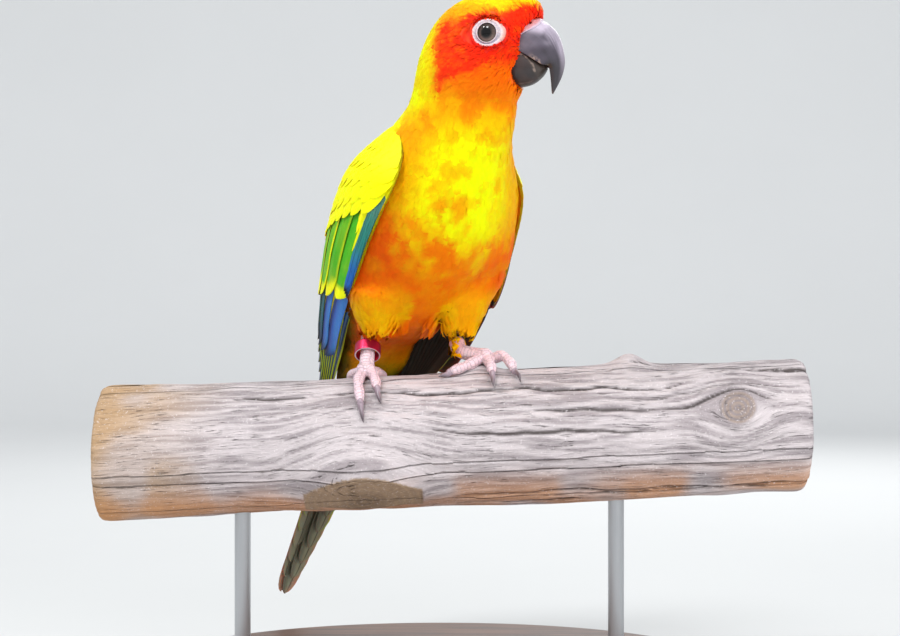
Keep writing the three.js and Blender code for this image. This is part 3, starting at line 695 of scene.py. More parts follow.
def body_colour(points):
    x, y, z = np.moveaxis(points, -1, 0)
    patchy = mottle(points, 5.6, 3) - 0.5
    fine = mottle(points, 2.8, 5) - 0.5
    middle = np.interp(z, SPINE[:, 1], SPINE[:, 0])
    front = np.arctan2(np.abs(x), y - middle)  # 0 at the breastbone, pi at the back
    side = np.arctan2(x, y - middle)
    yellow_spots = ramp(patchy + 0.7 * fine, -0.26, 0.26)
    breast = mix(mix(AMBER, GOLD, 0.45), YELLOW, yellow_spots)
    outward = front + 0.25 * (x < 0) + 0.7 * patchy + 0.3 * fine
    breast = mix(breast, mix(ORANGE, AMBER, 0.3), ramp(outward, 0.6, 1.15) * 0.8)
    belly = mix(mix(ORANGE, RED_ORANGE, 0.4), AMBER, ramp(patchy + 0.35 * fine, -0.2, 0.35) * 0.6)
    flank = mix(RED_ORANGE, ORANGE, ramp(patchy + 0.5 * fine, -0.15, 0.4) * 0.5)
    belly = mix(belly, flank, ramp(front + 0.7 * patchy, 0.12, 0.62))
    low = mix(RED_ORANGE, ORANGE, ramp(patchy + fine, -0.2, 0.5) * 0.15)
    belly = mix(belly, low, 0.75 * ramp(z + 12 * patchy, 38, 22))
    border = z + 22 * patchy + 5 * np.cos(2 * front) - 5 * np.cos(side - 0.9)
    front_colour = mix(belly, breast, ramp(border + 8 * fine, 36, 69))
    throat = mix(mix(ORANGE, RED_ORANGE, 0.35), AMBER, yellow_spots)
    front_colour = mix(front_colour, throat, ramp(z + 10 * patchy, 78, 94) * ramp(front, 1.8, 1.0) * 0.85)
    back = mix(GOLD, YELLOW, ramp(patchy + 0.5 * fine, -0.25, 0.1))
    colour = mix(front_colour, back, ramp(front + 0.5 * patchy, 1.55, 2.15))
    # the vent turns olive toward the bottom: partly the undertail coverts' own olive, partly painted shade
    # where the body turns under
    vent = ramp(z, 12, -2) * ramp(front, 2.2, 1.2)
    colour = mix(colour, mix(AMBER, OLIVE, ramp(z + 20 * patchy, 9, -6)), vent)
    # painted shade: the flank and vent behind the thigh are painted dark olive, as the shadow there
    behind = ramp(z + 8 * patchy, 33, 21) * ramp(front, 0.72, 1.05) * ramp(front, 2.0, 1.5)
    return mix(colour, mix(OLIVE * 0.7, OLIVE * 0.32, ramp(patchy, -0.3, 0.2)), behind * 0.95)


THIGHS = (  # the right one and the left one, from the body to the heel
    (np.array([17.0, -4, 34]), np.array([21.0, 4.2, 12.5])),
    (np.array([-17.0, 0, 36]), np.array([-12.5, 8.0, 12.0])),
)
THIGH_HALF = (12.5, 8.0)  # half widths at those two ends
SKIN_SHADE = 0.92  # painted shade: the skin shows only in the gaps under the feathers, so it is painted a little darker than the coat over it


def thigh_share(points):
    """How far a place belongs to a thigh, 0 to 1, and the way down that thigh."""
    share, way = np.zeros(points.shape[:-1]), np.zeros(points.shape)
    for start, end in THIGHS:
        axis = end - start
        t = np.clip((points - start) @ axis / (axis @ axis), 0, 1.35)
        off = np.linalg.norm(points - start - t[..., None] * axis, axis=-1)
        half = np.interp(t, (0, 1), THIGH_HALF) + 14 * np.maximum(t - 0.9, 0)
        here = ramp(off - half, 3.5, 0.5) * ramp(t, 0.0, 0.5)
        way = np.where((here > share)[..., None], unit(axis), way)
        share = np.maximum(share, here)
    return share, way


def plumage(points):
    """The colour of the coat at places in the bird's frame."""
    on_head = ramp(points[..., 2] + 5 * (mottle(points, 6, 2) - 0.5), 88, 101)
    colour = mix(body_colour(points), head_colour(points), on_head)
    share, _ = thigh_share(points)
    spots = ramp(mottle(points, 3.4, 8), 0.35, 0.65)
    low = ramp(points[..., 2], 36, 22)
    thigh = mix(mix(ORANGE, AMBER, 0.4), mix(mix(ORANGE, AMBER, 0.55), GOLD, spots * 0.3), low)
    return mix(colour, thigh, share * (0.55 + 0.45 * low))


# the skin takes the coat's colour, darkened as painted shade
paint(skin.data, "tint", plumage(skin_points) * SKIN_SHADE)

# %% [markdown]
# The feathers lie like tiles, rooted at random but evenly spaced places and
# pointing away from the bill, back over the head and down the body. Each one
# creeps along the skin from root to tip, so it bends with the form under it.

# %% The lie of the coat
BILL_ROOT = in_head(0, 13, -3)
EYES = [in_head(hand * EYE["side"], EYE["ahead"], EYE["up"]) for hand in (1, -1)]


def lie(points):
    """The way feathers point, before it is laid flat on the skin."""
    ahead_at = np.interp(points[..., 2], SPINE[:, 1], SPINE[:, 0])
    below = np.interp(points[..., 2] - 6, SPINE[:, 1], SPINE[:, 0])
    down = np.stack([0 * ahead_at, below - ahead_at, np.full_like(ahead_at, -6)], -1)
    on_tail = ramp(points[..., 2], 12, -4)
    way = mix(unit(down), TAIL["down"], on_tail)
    away = unit(points - BILL_ROOT)
    away = unit(away - 0.25 * HEAD_AHEAD - 0.15 * UP)
    way = mix(way, away, ramp(points[..., 2], 92, 104))
    for eye in EYES:
        off = points - eye
        far = np.linalg.norm(off, axis=-1)
        way = way + unit(off) * (1.1 * bell(far, 6, 3.5))[..., None]
    share, down_leg = thigh_share(points)
    return mix(way, down_leg, share)


FEATHERS = (  # spacing, length, half width and lift, each region laid over those before it
    (1.42, 9.2, 1.65, 1.25),  # body
    (1.25, 8.8, 1.35, 1.2),  # thigh
    (0.95, 10.5, 1.05, 1.0),  # ankle
    (1.9, 17.0, 2.6, 1.9),  # root of the tail
    (1.0, 5.8, 1.0, 0.95),  # nape
    (0.82, 4.4, 0.6, 0.82),  # cheek
    (0.66, 2.3, 0.42, 0.7),  # round the eye
    (0.7, 2.6, 0.45, 0.55),  # at the bill
)


def feather_size(points):
    """Spacing, length, half width and lift of the feathers that root at places."""
    z = points[..., 2]
    _, ahead, up = head_place(points)
    on_head = ramp(z, 90, 106)
    face = ramp(np.hypot(ahead - 14, up + 3), 26, 10)
    near_eye = ramp(np.hypot((ahead - BARE["ahead"]) / 1.2, up - BARE["up"]), 10, 5)
    brow = ramp(np.hypot(ahead - 14, up + 3), 13, 8)
    leg, _ = thigh_share(points)
    shank, tail = leg * ramp(z, 22, 12), ramp(z, 8, -6)
    shares = (leg, shank, tail, on_head, face * on_head, near_eye * on_head, brow * on_head)
    sizes = FEATHERS[0]
    for own, share in zip(FEATHERS[1:], shares):
        sizes = mix(sizes, own, share)
    return np.moveaxis(sizes, -1, 0)


# %% [markdown]
# Roots are drawn on the skin's triangles, more where the feathers are small,
# and a root is kept only if no kept one is too near. The naked eye ring, the
# tail beyond its root and the ends of the legs get none, so that no feather
# tangles with what comes out of the coat there.

# %% Where the feathers root
CANDIDATES = 130000
LAST_ON_TAIL = 36
LEG_END = {"bare_below": 13.5, "ankle": 21, "core": 5.0}  # heights, and the reach of the leg's core


def share_of_draws(corners):
    """How much of all draws each triangle of the skin gets."""
    middle = corners.mean(1)
    across = np.cross(corners[:, 1] - corners[:, 0], corners[:, 2] - corners[:, 0])
    size = np.linalg.norm(across, axis=-1)
    share = size / feather_size(middle)[0] ** 2
    share[bare_share(middle) > 0.5] = 0
    share[(middle - TAIL["root"]) @ TAIL["down"] > LAST_ON_TAIL] = 0
    # on the ankle, what faces down or lies close to the leg's middle line stays bare
    ankle = middle[:, 2] < LEG_END["ankle"]
    bare = (middle[:, 2] < LEG_END["bare_below"]) | (across[:, 2] < -0.3 * size) & ankle
    for start, end in THIGHS:
        off = np.linalg.norm(np.cross(middle - start, unit(end - start)), axis=-1)
        bare |= (off < LEG_END["core"]) & ankle
    share[(thigh_share(middle)[0] > 0.5) & bare] = 0
    return share / share.sum()


draw = np.random.default_rng(11)
skin.data.calc_loop_triangles()
skin_points = to_bird(get_points(skin.data))
corner_points = np.array([t.vertices[:] for t in skin.data.loop_triangles])
corner_loops = np.array([t.loops[:] for t in skin.data.loop_triangles])
skin_map = np.empty(len(skin.data.loops) * 2, np.float32)
skin.data.uv_layers["OFBake"].uv.foreach_get("vector", skin_map)
skin_map = skin_map.reshape(-1, 2)
corners = skin_points[corner_points]
chosen = draw.choice(len(corners), CANDIDATES, p=share_of_draws(corners))
weights = draw.dirichlet((1, 1, 1), CANDIDATES)
candidates = (corners[chosen] * weights[..., None]).sum(1)
candidate_map = (skin_map[corner_loops[chosen]] * weights[..., None]).sum(1)


def well_spaced(points, spacing):
    """Keeps a point only if no kept one is nearer than its spacing."""
    tree = KDTree(len(points))
    for k, p in enumerate(points):
        tree.insert(p, k)
    tree.balance()
    alive = np.ones(len(points), bool)
    kept = []
    for k, p in enumerate(points):
        if alive[k]:
            kept.append(k)
            for _, other, _ in tree.find_range(p, spacing[k]):
                alive[other] = False
    return np.array(kept)


kept = well_spaced(candidates, feather_size(candidates)[0])
roots, root_map = candidates[kept], candidate_map[kept]
print(len(roots), "feather roots")

# %% [markdown]
# A feather that would lie wholly under a folded wing is left out: a ray from
# its root and one from near its tip both meet the wing.

# %% Feathers hidden by the wings
RAY_START, RAY_LENGTH = -0.5, 9.0


def search_tree(mesh):
    """A tree that finds places on a mesh, in the bird's frame."""
    points = to_bird(get_points(mesh))
    return BVHTree.FromPolygons([Vector(p) for p in points], [f.vertices[:] for f in mesh.polygons])


skin_tree = search_tree(skin.data)
wing_trees = [search_tree(nodes["wing_" + side].data) for side in ("right", "left")]


def under_wing(point, normal):
    start = Vector(point) + RAY_START * normal
    return any(tree.ray_cast(start, normal, RAY_LENGTH)[0] is not None for tree in wing_trees)


def creep(points, lengths, steps):
    """Centre lines of feathers: places, ways and normals at each share of length."""
    count = len(points)
    place = np.zeros((count, len(steps), 3))
    out = np.zeros_like(place)
    current = points.copy()
    for row, step in enumerate(steps):
        reach = lengths * (step - (steps[row - 1] if row else 0))
        way = lie(current)
        for k in range(count):
            _, normal, _, _ = skin_tree.find_nearest(Vector(current[k]))
            normal = np.array(normal)
            flat = way[k] - normal * (way[k] @ normal)
            flat = flat / max(np.linalg.norm(flat), 1e-6)
            ahead = Vector(current[k] + flat * reach[k])
            spot, normal, _, _ = skin_tree.find_nearest(ahead)
            current[k] = spot
            out[k, row] = normal
        place[:, row] = current
    return place, out


# %% [markdown]
# A small feather is one thin closed vane, narrow at the root, widest past the
# middle and ragged at the tip. Its size, height and bend vary a little, and a
# low feather on the leg hangs free. Its normals follow the form under it, so
# that light runs over the coat as over silk.

# %% One batch of small feathers
ALONG = (0.0, 0.3, 0.6, 0.84, 1.0)  # shares of the length
WIDTH_THERE = (0.4, 0.85, 1.0, 0.86, 0.5)
LIFT_THERE = (-0.3, 0.6, 0.95, 1.0, 0.88)
SMALL_VANE = Vane(6, 4)
TINY_VANE = Vane(4, 3)
PATCH = 0.0015  # half the width of a feather's own patch on the unwrapped skin


def vary(draws, values, spread, low, high):
    """Each value times its own draw round 1."""
    return values * draws.normal(1, spread, len(values)).clip(low, high)


def coat_of(name, vane, chosen, seed):
    """Feathers that root at the chosen places, as one mesh."""
    draws = np.random.default_rng(seed)
    count = len(chosen)
    points = roots[chosen]
    shares = np.interp(np.arange(vane.rows + 1) / vane.rows, np.linspace(0, 1, 5), ALONG)
    widths, lifts = np.interp(shares, ALONG, WIDTH_THERE), np.interp(shares, ALONG, LIFT_THERE)
    _, length, half, lift = feather_size(points)
    length = vary(draws, length, 0.1, 0.7, 1.3)
    half = vary(draws, half, 0.1, 0.75, 1.3)
    lift = vary(draws, lift, 0.03, 0.9, 1.1)
    place, out = creep(points, length, shares)
    # low on the legs a feather hangs free instead of following the skin
    leg, down = thigh_share(points)
    free = (leg * ramp(points[:, 2], 27, 16))[:, None, None]
    hang = down[:, None] - 0.25 * out[:, :1] * [1, 1, 0]
    straight = points[:, None] + hang * (length[:, None] * shares)[..., None]
    place = place * (1 - free) + straight * free
    ahead = unit(np.diff(place, axis=1))
    ahead = np.concatenate([ahead, ahead[:, -1:]], axis=1)
    sideways = unit(np.cross(ahead, out))
    stray = draws.normal(0, 0.07, count)[:, None, None] * shares[:, None]
    place = place + sideways * stray * length[:, None, None]
    row, u = vane.row, vane.across
    wide = u * half[:, None] * widths[row]
    thick = (0.08 - 0.05 * shares[row]) * vane.under
    camber = 0.03 * half[:, None] * u**2
    high = lift[:, None] * lifts[row] - camber - thick
    high = high + draws.normal(0, 0.015, count)[:, None] * u * half[:, None]
    tip = (row == vane.rows).astype(float)
    teeth = draws.uniform(0, 1, (count, vane.columns + 1))[:, vane.column]
    teeth = 0.02 * teeth + 0.02 * (vane.column % 2) * teeth
    back = tip * length[:, None] * (0.17 * u**2 + teeth)
    shape = (place[:, row] + sideways[:, row] * wide[..., None] + out[:, row] * high[..., None]
             - ahead[:, row] * back[..., None])
    # each corner takes the colour of its own place, so the markings run on smoothly
    tint = plumage(shape + draws.normal(0, 0.5, (count, 1, 3)))
    tint = tint * draws.normal(1, 0.025, (count, 1, 1)).clip(0.9, 1.1)
    # painted shade: each feather is a little darker toward its root, where the one above overlaps it
    tint = tint * (0.94 + 0.06 * shares[row])[:, None]
    strands = np.stack([wide + draws.uniform(0, 40, (count, 1)), shares[row] * length[:, None]], -1)
    patch = root_map[chosen][:, None] + PATCH * np.stack([u, 2 * shares[row] - 1], -1)
    # shaded along the form under them, with a hint of each feather's own bulge
    level = out * (1 - free * [0, 0, 1])
    soft = level[:, row] + sideways[:, row] * (0.22 * u)[:, None]
    soft = soft + ahead[:, row] * (0.12 * shares[row])[:, None]
    return vane.repeat(name, shape, tint.clip(0, 1), strands, patch, soft)


# %% [markdown]
# Feather catches light along its barbs. The finish reads the painted tint,
# then lets fine strands that run with each feather lighten, darken and groove
# it. A little light passes through, as in down. It has next to no gloss, which
# would wash its strong colours out.

# %% Plumage finish
def plumage_finish(name, strand, depth, contrast, roughness=0.62, shine=0.08):
    """strand is how many barbs there are in a millimetre across the vane."""
    finish = Finish(name, Roughness=roughness, Specular_IOR_Level=shine)
    finish.set(Subsurface_Weight=0.35, Subsurface_Scale=0.0012)
    barbs = finish.noise(finish.on_map("vane", (strand, 0.32, 1)), 1.0, detail=2.0)
    cloud = finish.noise(finish.place((0.35, 0.35, 0.35)), 1.0, detail=2.0)
    shade = barbs * contrast + cloud * 0.12 + (0.94 - contrast / 2)
    finish.set(Base_Color=finish.shade(finish.attribute("tint"), shade))
    finish.relief(barbs, depth)
    return finish.material


coat_finish = plumage_finish("small_feathers", 4.5, 0.07, 0.18)

# %% [markdown]
# The coat is laid in nine pieces, so that none has too many triangles. Under a
# wing there is none, and the skin below shows only between the feathers.

# %% The coat on head, body and thighs
FACE_FROM, NECK_FROM, BREAST_FROM = 104, 95, 52  # heights
inner = np.array([under_wing(roots[k], Vector(n)) for k, n in
                  enumerate(skin_tree.find_nearest(Vector(p))[1] for p in roots)])
steps = creep(roots, feather_size(roots)[1], [1.0])
inner &= np.array([under_wing(p[0], Vector(n[0])) for p, n in zip(*steps)])
height = roots[:, 2]
leg = thigh_share(roots)[0] > 0.5
upper = (height > NECK_FROM) & ~inner
face = upper & (height > FACE_FROM)
body = ~leg & ~upper & ~inner
front = body & (roots[:, 1] > np.interp(height, SPINE[:, 1], SPINE[:, 0]))
side_of_head, ahead_in_head, _ = head_place(roots)
crown = face & (ahead_in_head < -2)
batches = (
    ("coat_face_right", TINY_VANE, face & ~crown & (side_of_head > 0), "face"),
    ("coat_face_left", TINY_VANE, face & ~crown & (side_of_head <= 0), "face"),
    ("coat_crown", TINY_VANE, crown, "face"),
    ("coat_neck", SMALL_VANE, upper & ~face, "neck"),
    ("coat_breast", SMALL_VANE, front & (height > BREAST_FROM), "breast"),
    ("coat_belly", SMALL_VANE, front & (height <= BREAST_FROM), "breast"),
    ("coat_back", SMALL_VANE, body & ~front, "breast"),
    ("coat_thigh_right", SMALL_VANE, leg & (roots[:, 0] > 0) & ~inner, "breast"),
    ("coat_thigh_left", SMALL_VANE, leg & (roots[:, 0] < 0) & ~inner, "breast"),
)
for seed, (name, vane, mask, slot) in enumerate(batches):
    piece = coat_of(name, vane, np.flatnonzero(mask), 100 + seed)
    finish_piece(piece, coat_finish, slot)
    print(name, int(mask.sum()), "feathers")

skin_finish = Finish("skin_under_coat", Roughness=0.8)
skin_tint = skin_finish.attribute("tint")
down_shade = skin_finish.noise(skin_finish.place((2, 2, 2))) * 0.3 + 0.7
skin_finish.set(Base_Color=skin_finish.shade(skin_tint, down_shade))
finish_piece(skin, skin_finish.material, "breast", *FLESH)

# %% [markdown]
# A folded wing is a shallow bulge from its edge along the breast to its edge
# on the back. Each quill is placed on it by two shares: along the wing from
# the shoulder to the tip, and across it from front to back. The tiers overlap
# like tiles: long primaries, secondaries, and three kinds of coverts over them.

# %% The folded wing's own surface
WING_FRONT = np.array([
    [21.2, 19.2, 87.2], [29, 22, 66], [29.2, 4, 43.6], [26, -15, 24.5],
    [20.5, -34.5, 5], [15, -55.5, -12], [9.5, -76.5, -28.5],
])
WING_REAR = np.array([
    [11, 5, 92.5], [6, -15.5, 79], [5, -31.5, 58], [5, -43, 38],
    [7.5, -55, 15.5], [9.5, -67, -4.5], [7, -79.5, -25],
])
WING_BULGE = np.array([3, 14, 14.5, 12, 7.5, 3.5, 1.0])
WRIST = {"right": np.array([-1.3, 3.4, -0.4]), "left": np.array([-2.8, -0.6, 0])}
LEFT_OUT = np.array([4.8, 0, 0])
WING_LENGTH = 160
ARM_END = 0.6
ARM_THICK = (4, 6, 5.4, 3.6, 2.4, 1.6, 1)
SHOULDER = np.array([0.0, 15, 80])
DROOP, LOOSE = math.radians(9), math.radians(0.9)
LOOSE_ABOUT = np.array([0.0, -58, 0])


def outward(across_it):
    """The unit normal that points away from the body."""
    normal = unit(across_it)
    return normal * np.where(normal[..., :1] < 0, -1, 1)


def wing_surface(t, c, side="right"):
    """A place on the wing, t from shoulder to tip and c from front to rear edge."""
    if side == "right":  # the wrist wraps further round the breast than the straight edge
        wrap = 0.6 * bell(t, 0.1, 0.09) + 0.45 * ramp(t, 0, 0.08) * ramp(t, 0.62, 0.4)
        shift = WRIST[side] * wrap[..., None]
    else:  # the wrist is tucked in, and the edge below it stands out
        shift = WRIST[side] * bell(t, 0.13, 0.17)[..., None]
        shift = shift + LEFT_OUT * bell(t, 0.54, 0.17)[..., None]
    front, rear = sample(WING_FRONT, t) + shift, sample(WING_REAR, t)
    along = sample(WING_FRONT, np.minimum(t + 0.01, 1)) - sample(WING_FRONT, np.maximum(t - 0.01, 0))
    across = rear - front
    bulge = sample(WING_BULGE, t) * np.maximum(4 * c * (1 - c), 0) ** 0.8
    return front + across * c[..., None] + outward(np.cross(along, across)) * bulge[..., None]


def wing_place(t, c, height, side):
    """The same at a height over the wing."""
    step = 0.012
    inside = np.clip(c, 0.06, 0.94)
    along = wing_surface(np.minimum(t + step, 1), c, side) - wing_surface(np.maximum(t - step, 0), c, side)
    across = wing_surface(t, inside + step, side) - wing_surface(t, inside - step, side)
    normal = outward(np.cross(along, across))
    return wing_surface(t, c, side) + normal * np.asarray(height)[..., None]


def wing_width(t):
    """Millimetres from the front edge to the rear edge, along the bulge."""
    marks = [wing_surface(t, np.full_like(t, k / 6)) for k in range(7)]
    return sum(np.linalg.norm(a - b, axis=-1) for a, b in zip(marks, marks[1:]))


def rotated(points, about, axis, angle):
    """Turns points about a line along x (axis 0) or z (axis 2)."""
    i, j = {0: (1, 2), 2: (0, 1)}[axis]
    away = points - about
    made = away.copy()
    made[..., i] = math.cos(angle) * away[..., i] - math.sin(angle) * away[..., j]
    made[..., j] = math.sin(angle) * away[..., i] + math.cos(angle) * away[..., j]
    return made + about


def on_side(side, points):
    """Right wing as it is; the left one mirrored, hanging a little lower and looser."""
    if side == "right":
        return points
    points = rotated(points * [-1, 1, 1], SHOULDER, 0, DROOP)
    return rotated(points, LOOSE_ABOUT, 2, LOOSE)


# %% [markdown]
# A quill has a shaft, a narrow leading web and a broad trailing web. Its
# outline is drawn by a rule of the share along it, and its colours by bands
# across the webs, which give conures their striped folded wings.

# %% Quills
QUILL = Vane(12, 14)
QUILL_U = np.array([-1, -0.9, -0.74, -0.56, -0.4, -0.3, -0.2, 0.0, 0.22, 0.45, 0.68, 0.86, 1.0])
SHAFT_U = QUILL_U[5]
QUILL_V = np.concatenate([np.linspace(0, 0.78, 9), [0.86, 0.915, 0.955, 0.98, 0.993, 1.0]])
WAIST = 0.55  # width at the root, as a share of the widest
THICK, COVERT_THICK = 0.42, 0.24


def quill_outline(v, blunt):
    """Half width, as a share of the widest."""
    base = WAIST + (1 - WAIST) * ramp(v, 0, 0.3)
    start = 1 - blunt
    t = np.clip((v - start) / blunt, 0, 1)
    return base * np.sqrt(np.maximum(1 - t**2.2, 0)).clip(0.05)


def quills(name, sets, place, colour, seed, thick, soft=False):
    """One mesh of quills; sets has one dict for each, and get gives its values as columns."""
    draws = np.random.default_rng(seed)
    count = len(sets)
    get = {key: np.array([[s[key]] for s in sets], float) for key in sets[0] if key != "kind"}
    kinds = np.array([[s["kind"]] for s in sets])
    u, v, under = QUILL_U[QUILL.column], QUILL_V[QUILL.row], QUILL.under
    notch = 0.05 * (QUILL.column % 2) * (v > 0.8) * draws.uniform(0, 1, (count, 1))
    wide = u * (get["half"] * quill_outline(v, get["blunt"])) * (1 - notch)
    shaft = bell(u, SHAFT_U, 0.07)
    camber = 0.121 * get["half"] * (u - SHAFT_U) ** 2
    flat = thick * (1 - 0.62 * np.abs(u)) * (1 - 0.45 * v)
    rise = np.minimum(v / get["rise"], 1)
    ripple = 0.06 * np.sin(v * 23 + draws.uniform(0, 6, (count, 1))) * np.abs(u)
    high = (get["root_low"] + (get["low"] - get["root_low"]) * rise
            - 0.5 * get["tilt"] * u + ripple - camber
            + shaft * (0.22 * (1 - v) + 0.05) * (1 - under) - flat * under
            - get["dip"] * ramp(v, 0.7, 1.0)
            - shaft * 0.25 * (1 - v) * under)
    points = place(get, v, wide, high)
    spread = (np.broadcast_to(x, wide.shape) for x in (kinds, u, v, under))
    tint = colour(get, *spread, points) * draws.normal(1, 0.03, (count, 1, 1))
    slant = v * get["long"] - np.abs(wide) * 0.9 + draws.uniform(0, 30, (count, 1))
    strands = np.stack([slant, wide], -1)
    normals = None
    if soft:  # small coverts are shaded along the wing's form, with a hint of their own
        normals = place(get, v, wide, high + 1) - points
        normals = normals + 0.16 * u[..., None] * (place(get, v, wide + 1, high) - points)
    return QUILL.repeat(name, points, tint.clip(0, 1), strands, None, normals)


def on_wing(side):
    def place(get, v, wide, high):
        t = get["root_t"] + (get["tip_t"] - get["root_t"]) * v
        c = get["root_c"] + (get["tip_c"] - get["root_c"]) * v
        c = c + (wide + get["bend"] * np.sin(np.pi * v)) / wing_width(t)
        return on_side(side, wing_place(t.clip(0, 1.0), c.clip(-0.03, 1.03), high, side))
    return place


USUAL_QUILL = {"tilt": 1.1, "blunt": 0.3, "root_low": -1.4, "bend": 0.0, "rise": 0.3, "dip": 0.0}


def tier(kind, count, root, tip, half, low, step=0.0, **own):
    """Evenly spaced quills; root and tip give (t, c) of the first and the last."""
    made = []
    for k in range(count):
        f = k / (count - 1)
        first, last = (np.array([*root[i], *tip[i], half[i]], float) for i in (0, 1))
        root_t, root_c, tip_t, tip_c, half_here = first + (last - first) * f
        quill = {**USUAL_QUILL, **own, "kind": kind, "share": f, "root_t": root_t, "root_c": root_c,
                 "tip_t": tip_t, "tip_c": tip_c, "half": half_here, "low": low + step * k,
                 "long": WING_LENGTH * (tip_t - root_t)}
        quill["root_low"] = min(quill["root_low"], quill["low"])
        made.append(quill)
    return made


# %% [markdown]
# Colours of the quills. The coverts on the shoulder are clear yellow, the
# greater coverts green with yellow rims and tips, the primary coverts go from
# teal to blue along the wing's edge, and the flight feathers show blue with
# green and black, edged with yellow. Underneath the small ones are yellow and
# the others dark grey.

# %% Colours across a quill
LEMON = srgb(255, 240, 0)
GREEN = srgb(66, 168, 20)
DARK_GREEN = srgb(30, 96, 30)
TEAL = srgb(46, 128, 116)
BLUE = srgb(36, 96, 176)
VIOLET = srgb(52, 74, 150)
SKY = srgb(64, 120, 190)
SLATE = srgb(78, 126, 112)
DEEP = srgb(14, 30, 52)
BLACK = srgb(14, 15, 20)
PALE = srgb(190, 215, 205)
LEAF = srgb(126, 178, 30)
UNDERSIDE = srgb(74, 70, 62)
UNDER_YELLOW = srgb(225, 150, 10)
BRIGHT_FRINGE = 2 / 7  # the greater covert with the strongest yellow fringe, as a share across


def wing_colour(get, kind, u, v, under, points):
    f = np.broadcast_to(get["share"], u.shape)
    patchy = mottle(points, 5.0, 1) - 0.5
    yellow = mix(LEMON, GOLD, ramp(patchy, 0.2, 0.5) * 0.35)
    margin = mix(LEMON, AMBER, ramp(patchy, -0.1, 0.3) * 0.6)
    green = mix(GREEN, LEAF, ramp(patchy + 0.2 * (u < 0), -0.15, 0.35) * 0.6)
    fringe = np.where(np.abs(f - BRIGHT_FRINGE) < 0.05, 1, 0.4)
    green = mix(green, LEMON, ramp(u + 0.08 * patchy, -0.80, -0.95) * ramp(v, 0.1, 0.5) * fringe)
    green = mix(green, DARK_GREEN, band(u, 0.3, 0.85, 0.25) * 0.4)
    green = mix(green, LEMON, ramp(v + 0.06 * np.abs(u) + 0.1 * patchy, 0.86, 0.92))
    hand = mix(mix(SLATE, TEAL, ramp(v, 0.25, 0.45)), BLUE, ramp(v, 0.52, 0.85))
    hand = mix(hand, BLACK, ramp(v, 0.93, 0.98))
    arm = mix(mix(VIOLET, SKY, ramp(u, -0.3, -0.8)), DEEP, ramp(u, -0.42, 0.1))
    arm = mix(arm, mix(TEAL * 0.45, DEEP, ramp(v, 0.6, 0.9)), ramp(f, 0.16, 0.32))
    arm = mix(arm, BLACK, ramp(v, 0.82, 0.98) * 0.85)
    long = mix(mix(BLUE, DEEP, ramp(v, 0.5, 0.8) * 0.5), BLACK, ramp(u, -0.45, -0.15))
    long = mix(long, BLACK, band(u, -0.84, -0.72, 0.05) * 0.8)
    long = mix(long, PALE, band(u, -0.7, -0.56, 0.04) * 0.7)
    long = mix(long, mix(LEAF, LEMON, 0.4), ramp(u, -0.82, -0.9))
    long = mix(long, BLACK, ramp(v, 0.8, 1.0) * 0.8)
    colour = yellow
    for name, own in (("green", green), ("hand", hand), ("arm", arm), ("long", long), ("margin", margin)):
        colour = np.where((kind == name)[..., None], own, colour)
    shaft = bell(u, SHAFT_U, 0.05) * np.isin(kind, ("arm", "long", "hand"))
    colour = mix(colour, BLACK, shaft * 0.6)
    small = np.isin(kind, ("yellow", "margin"))
    below = np.where(small[..., None], UNDER_YELLOW, UNDERSIDE)
    below = mix(below, UNDERSIDE * 0.45, ramp(u, 0.4, 0.9) * ~small)
    return mix(colour, below, under)


TIERS = {
    "primaries": tier("long", 10, [(0.44, 0.02), (0.47, 0.46)], [(0.99, 0.15), (0.70, 0.46)],
                      (3.1, 3.4), -4.4, 0.40, tilt=0.45, blunt=0.16, root_low=-4.4, bend=0.6),
    "secondaries": tier("arm", 8, [(0.40, 0.10), (0.34, 0.94)], [(0.675, 0.13), (0.64, 0.93)],
                        (5.2, 5.8), -0.5, 0.03, tilt=1.3, blunt=0.2),
    "primary_coverts": tier("hand", 4, [(0.12, 0.03), (0.13, 0.055)], [(0.47, 0.0), (0.45, 0.028)],
                            (1.6, 1.7), 0.9, 0.05, tilt=0.6, blunt=0.2)
    + tier("yellow", 2, [(0.10, 0.078), (0.11, 0.09)], [(0.335, 0.052), (0.29, 0.066)],
           (1.1, 1.3), 0.98, 0.05, tilt=0.3, blunt=0.5, root_low=-0.8),
    "greater_coverts": tier("green", 8, [(0.17, 0.10), (0.22, 0.95)], [(0.485, 0.075), (0.585, 0.93)],
                            (5.0, 5.8), 0.8, 0.02, tilt=0.6, blunt=0.22),
}

# the left wing's primaries spread further toward the rump
LEFT_PRIMARIES = tier("long", 12, [(0.44, 0.02), (0.50, 0.74)], [(0.99, 0.15), (0.83, 0.74)],
                      (3.1, 4.2), -4.4, 0.28, tilt=0.45, blunt=0.16, root_low=-4.4, bend=0.6)


COVERT_ROWS, EDGE_TILES = 11, 19


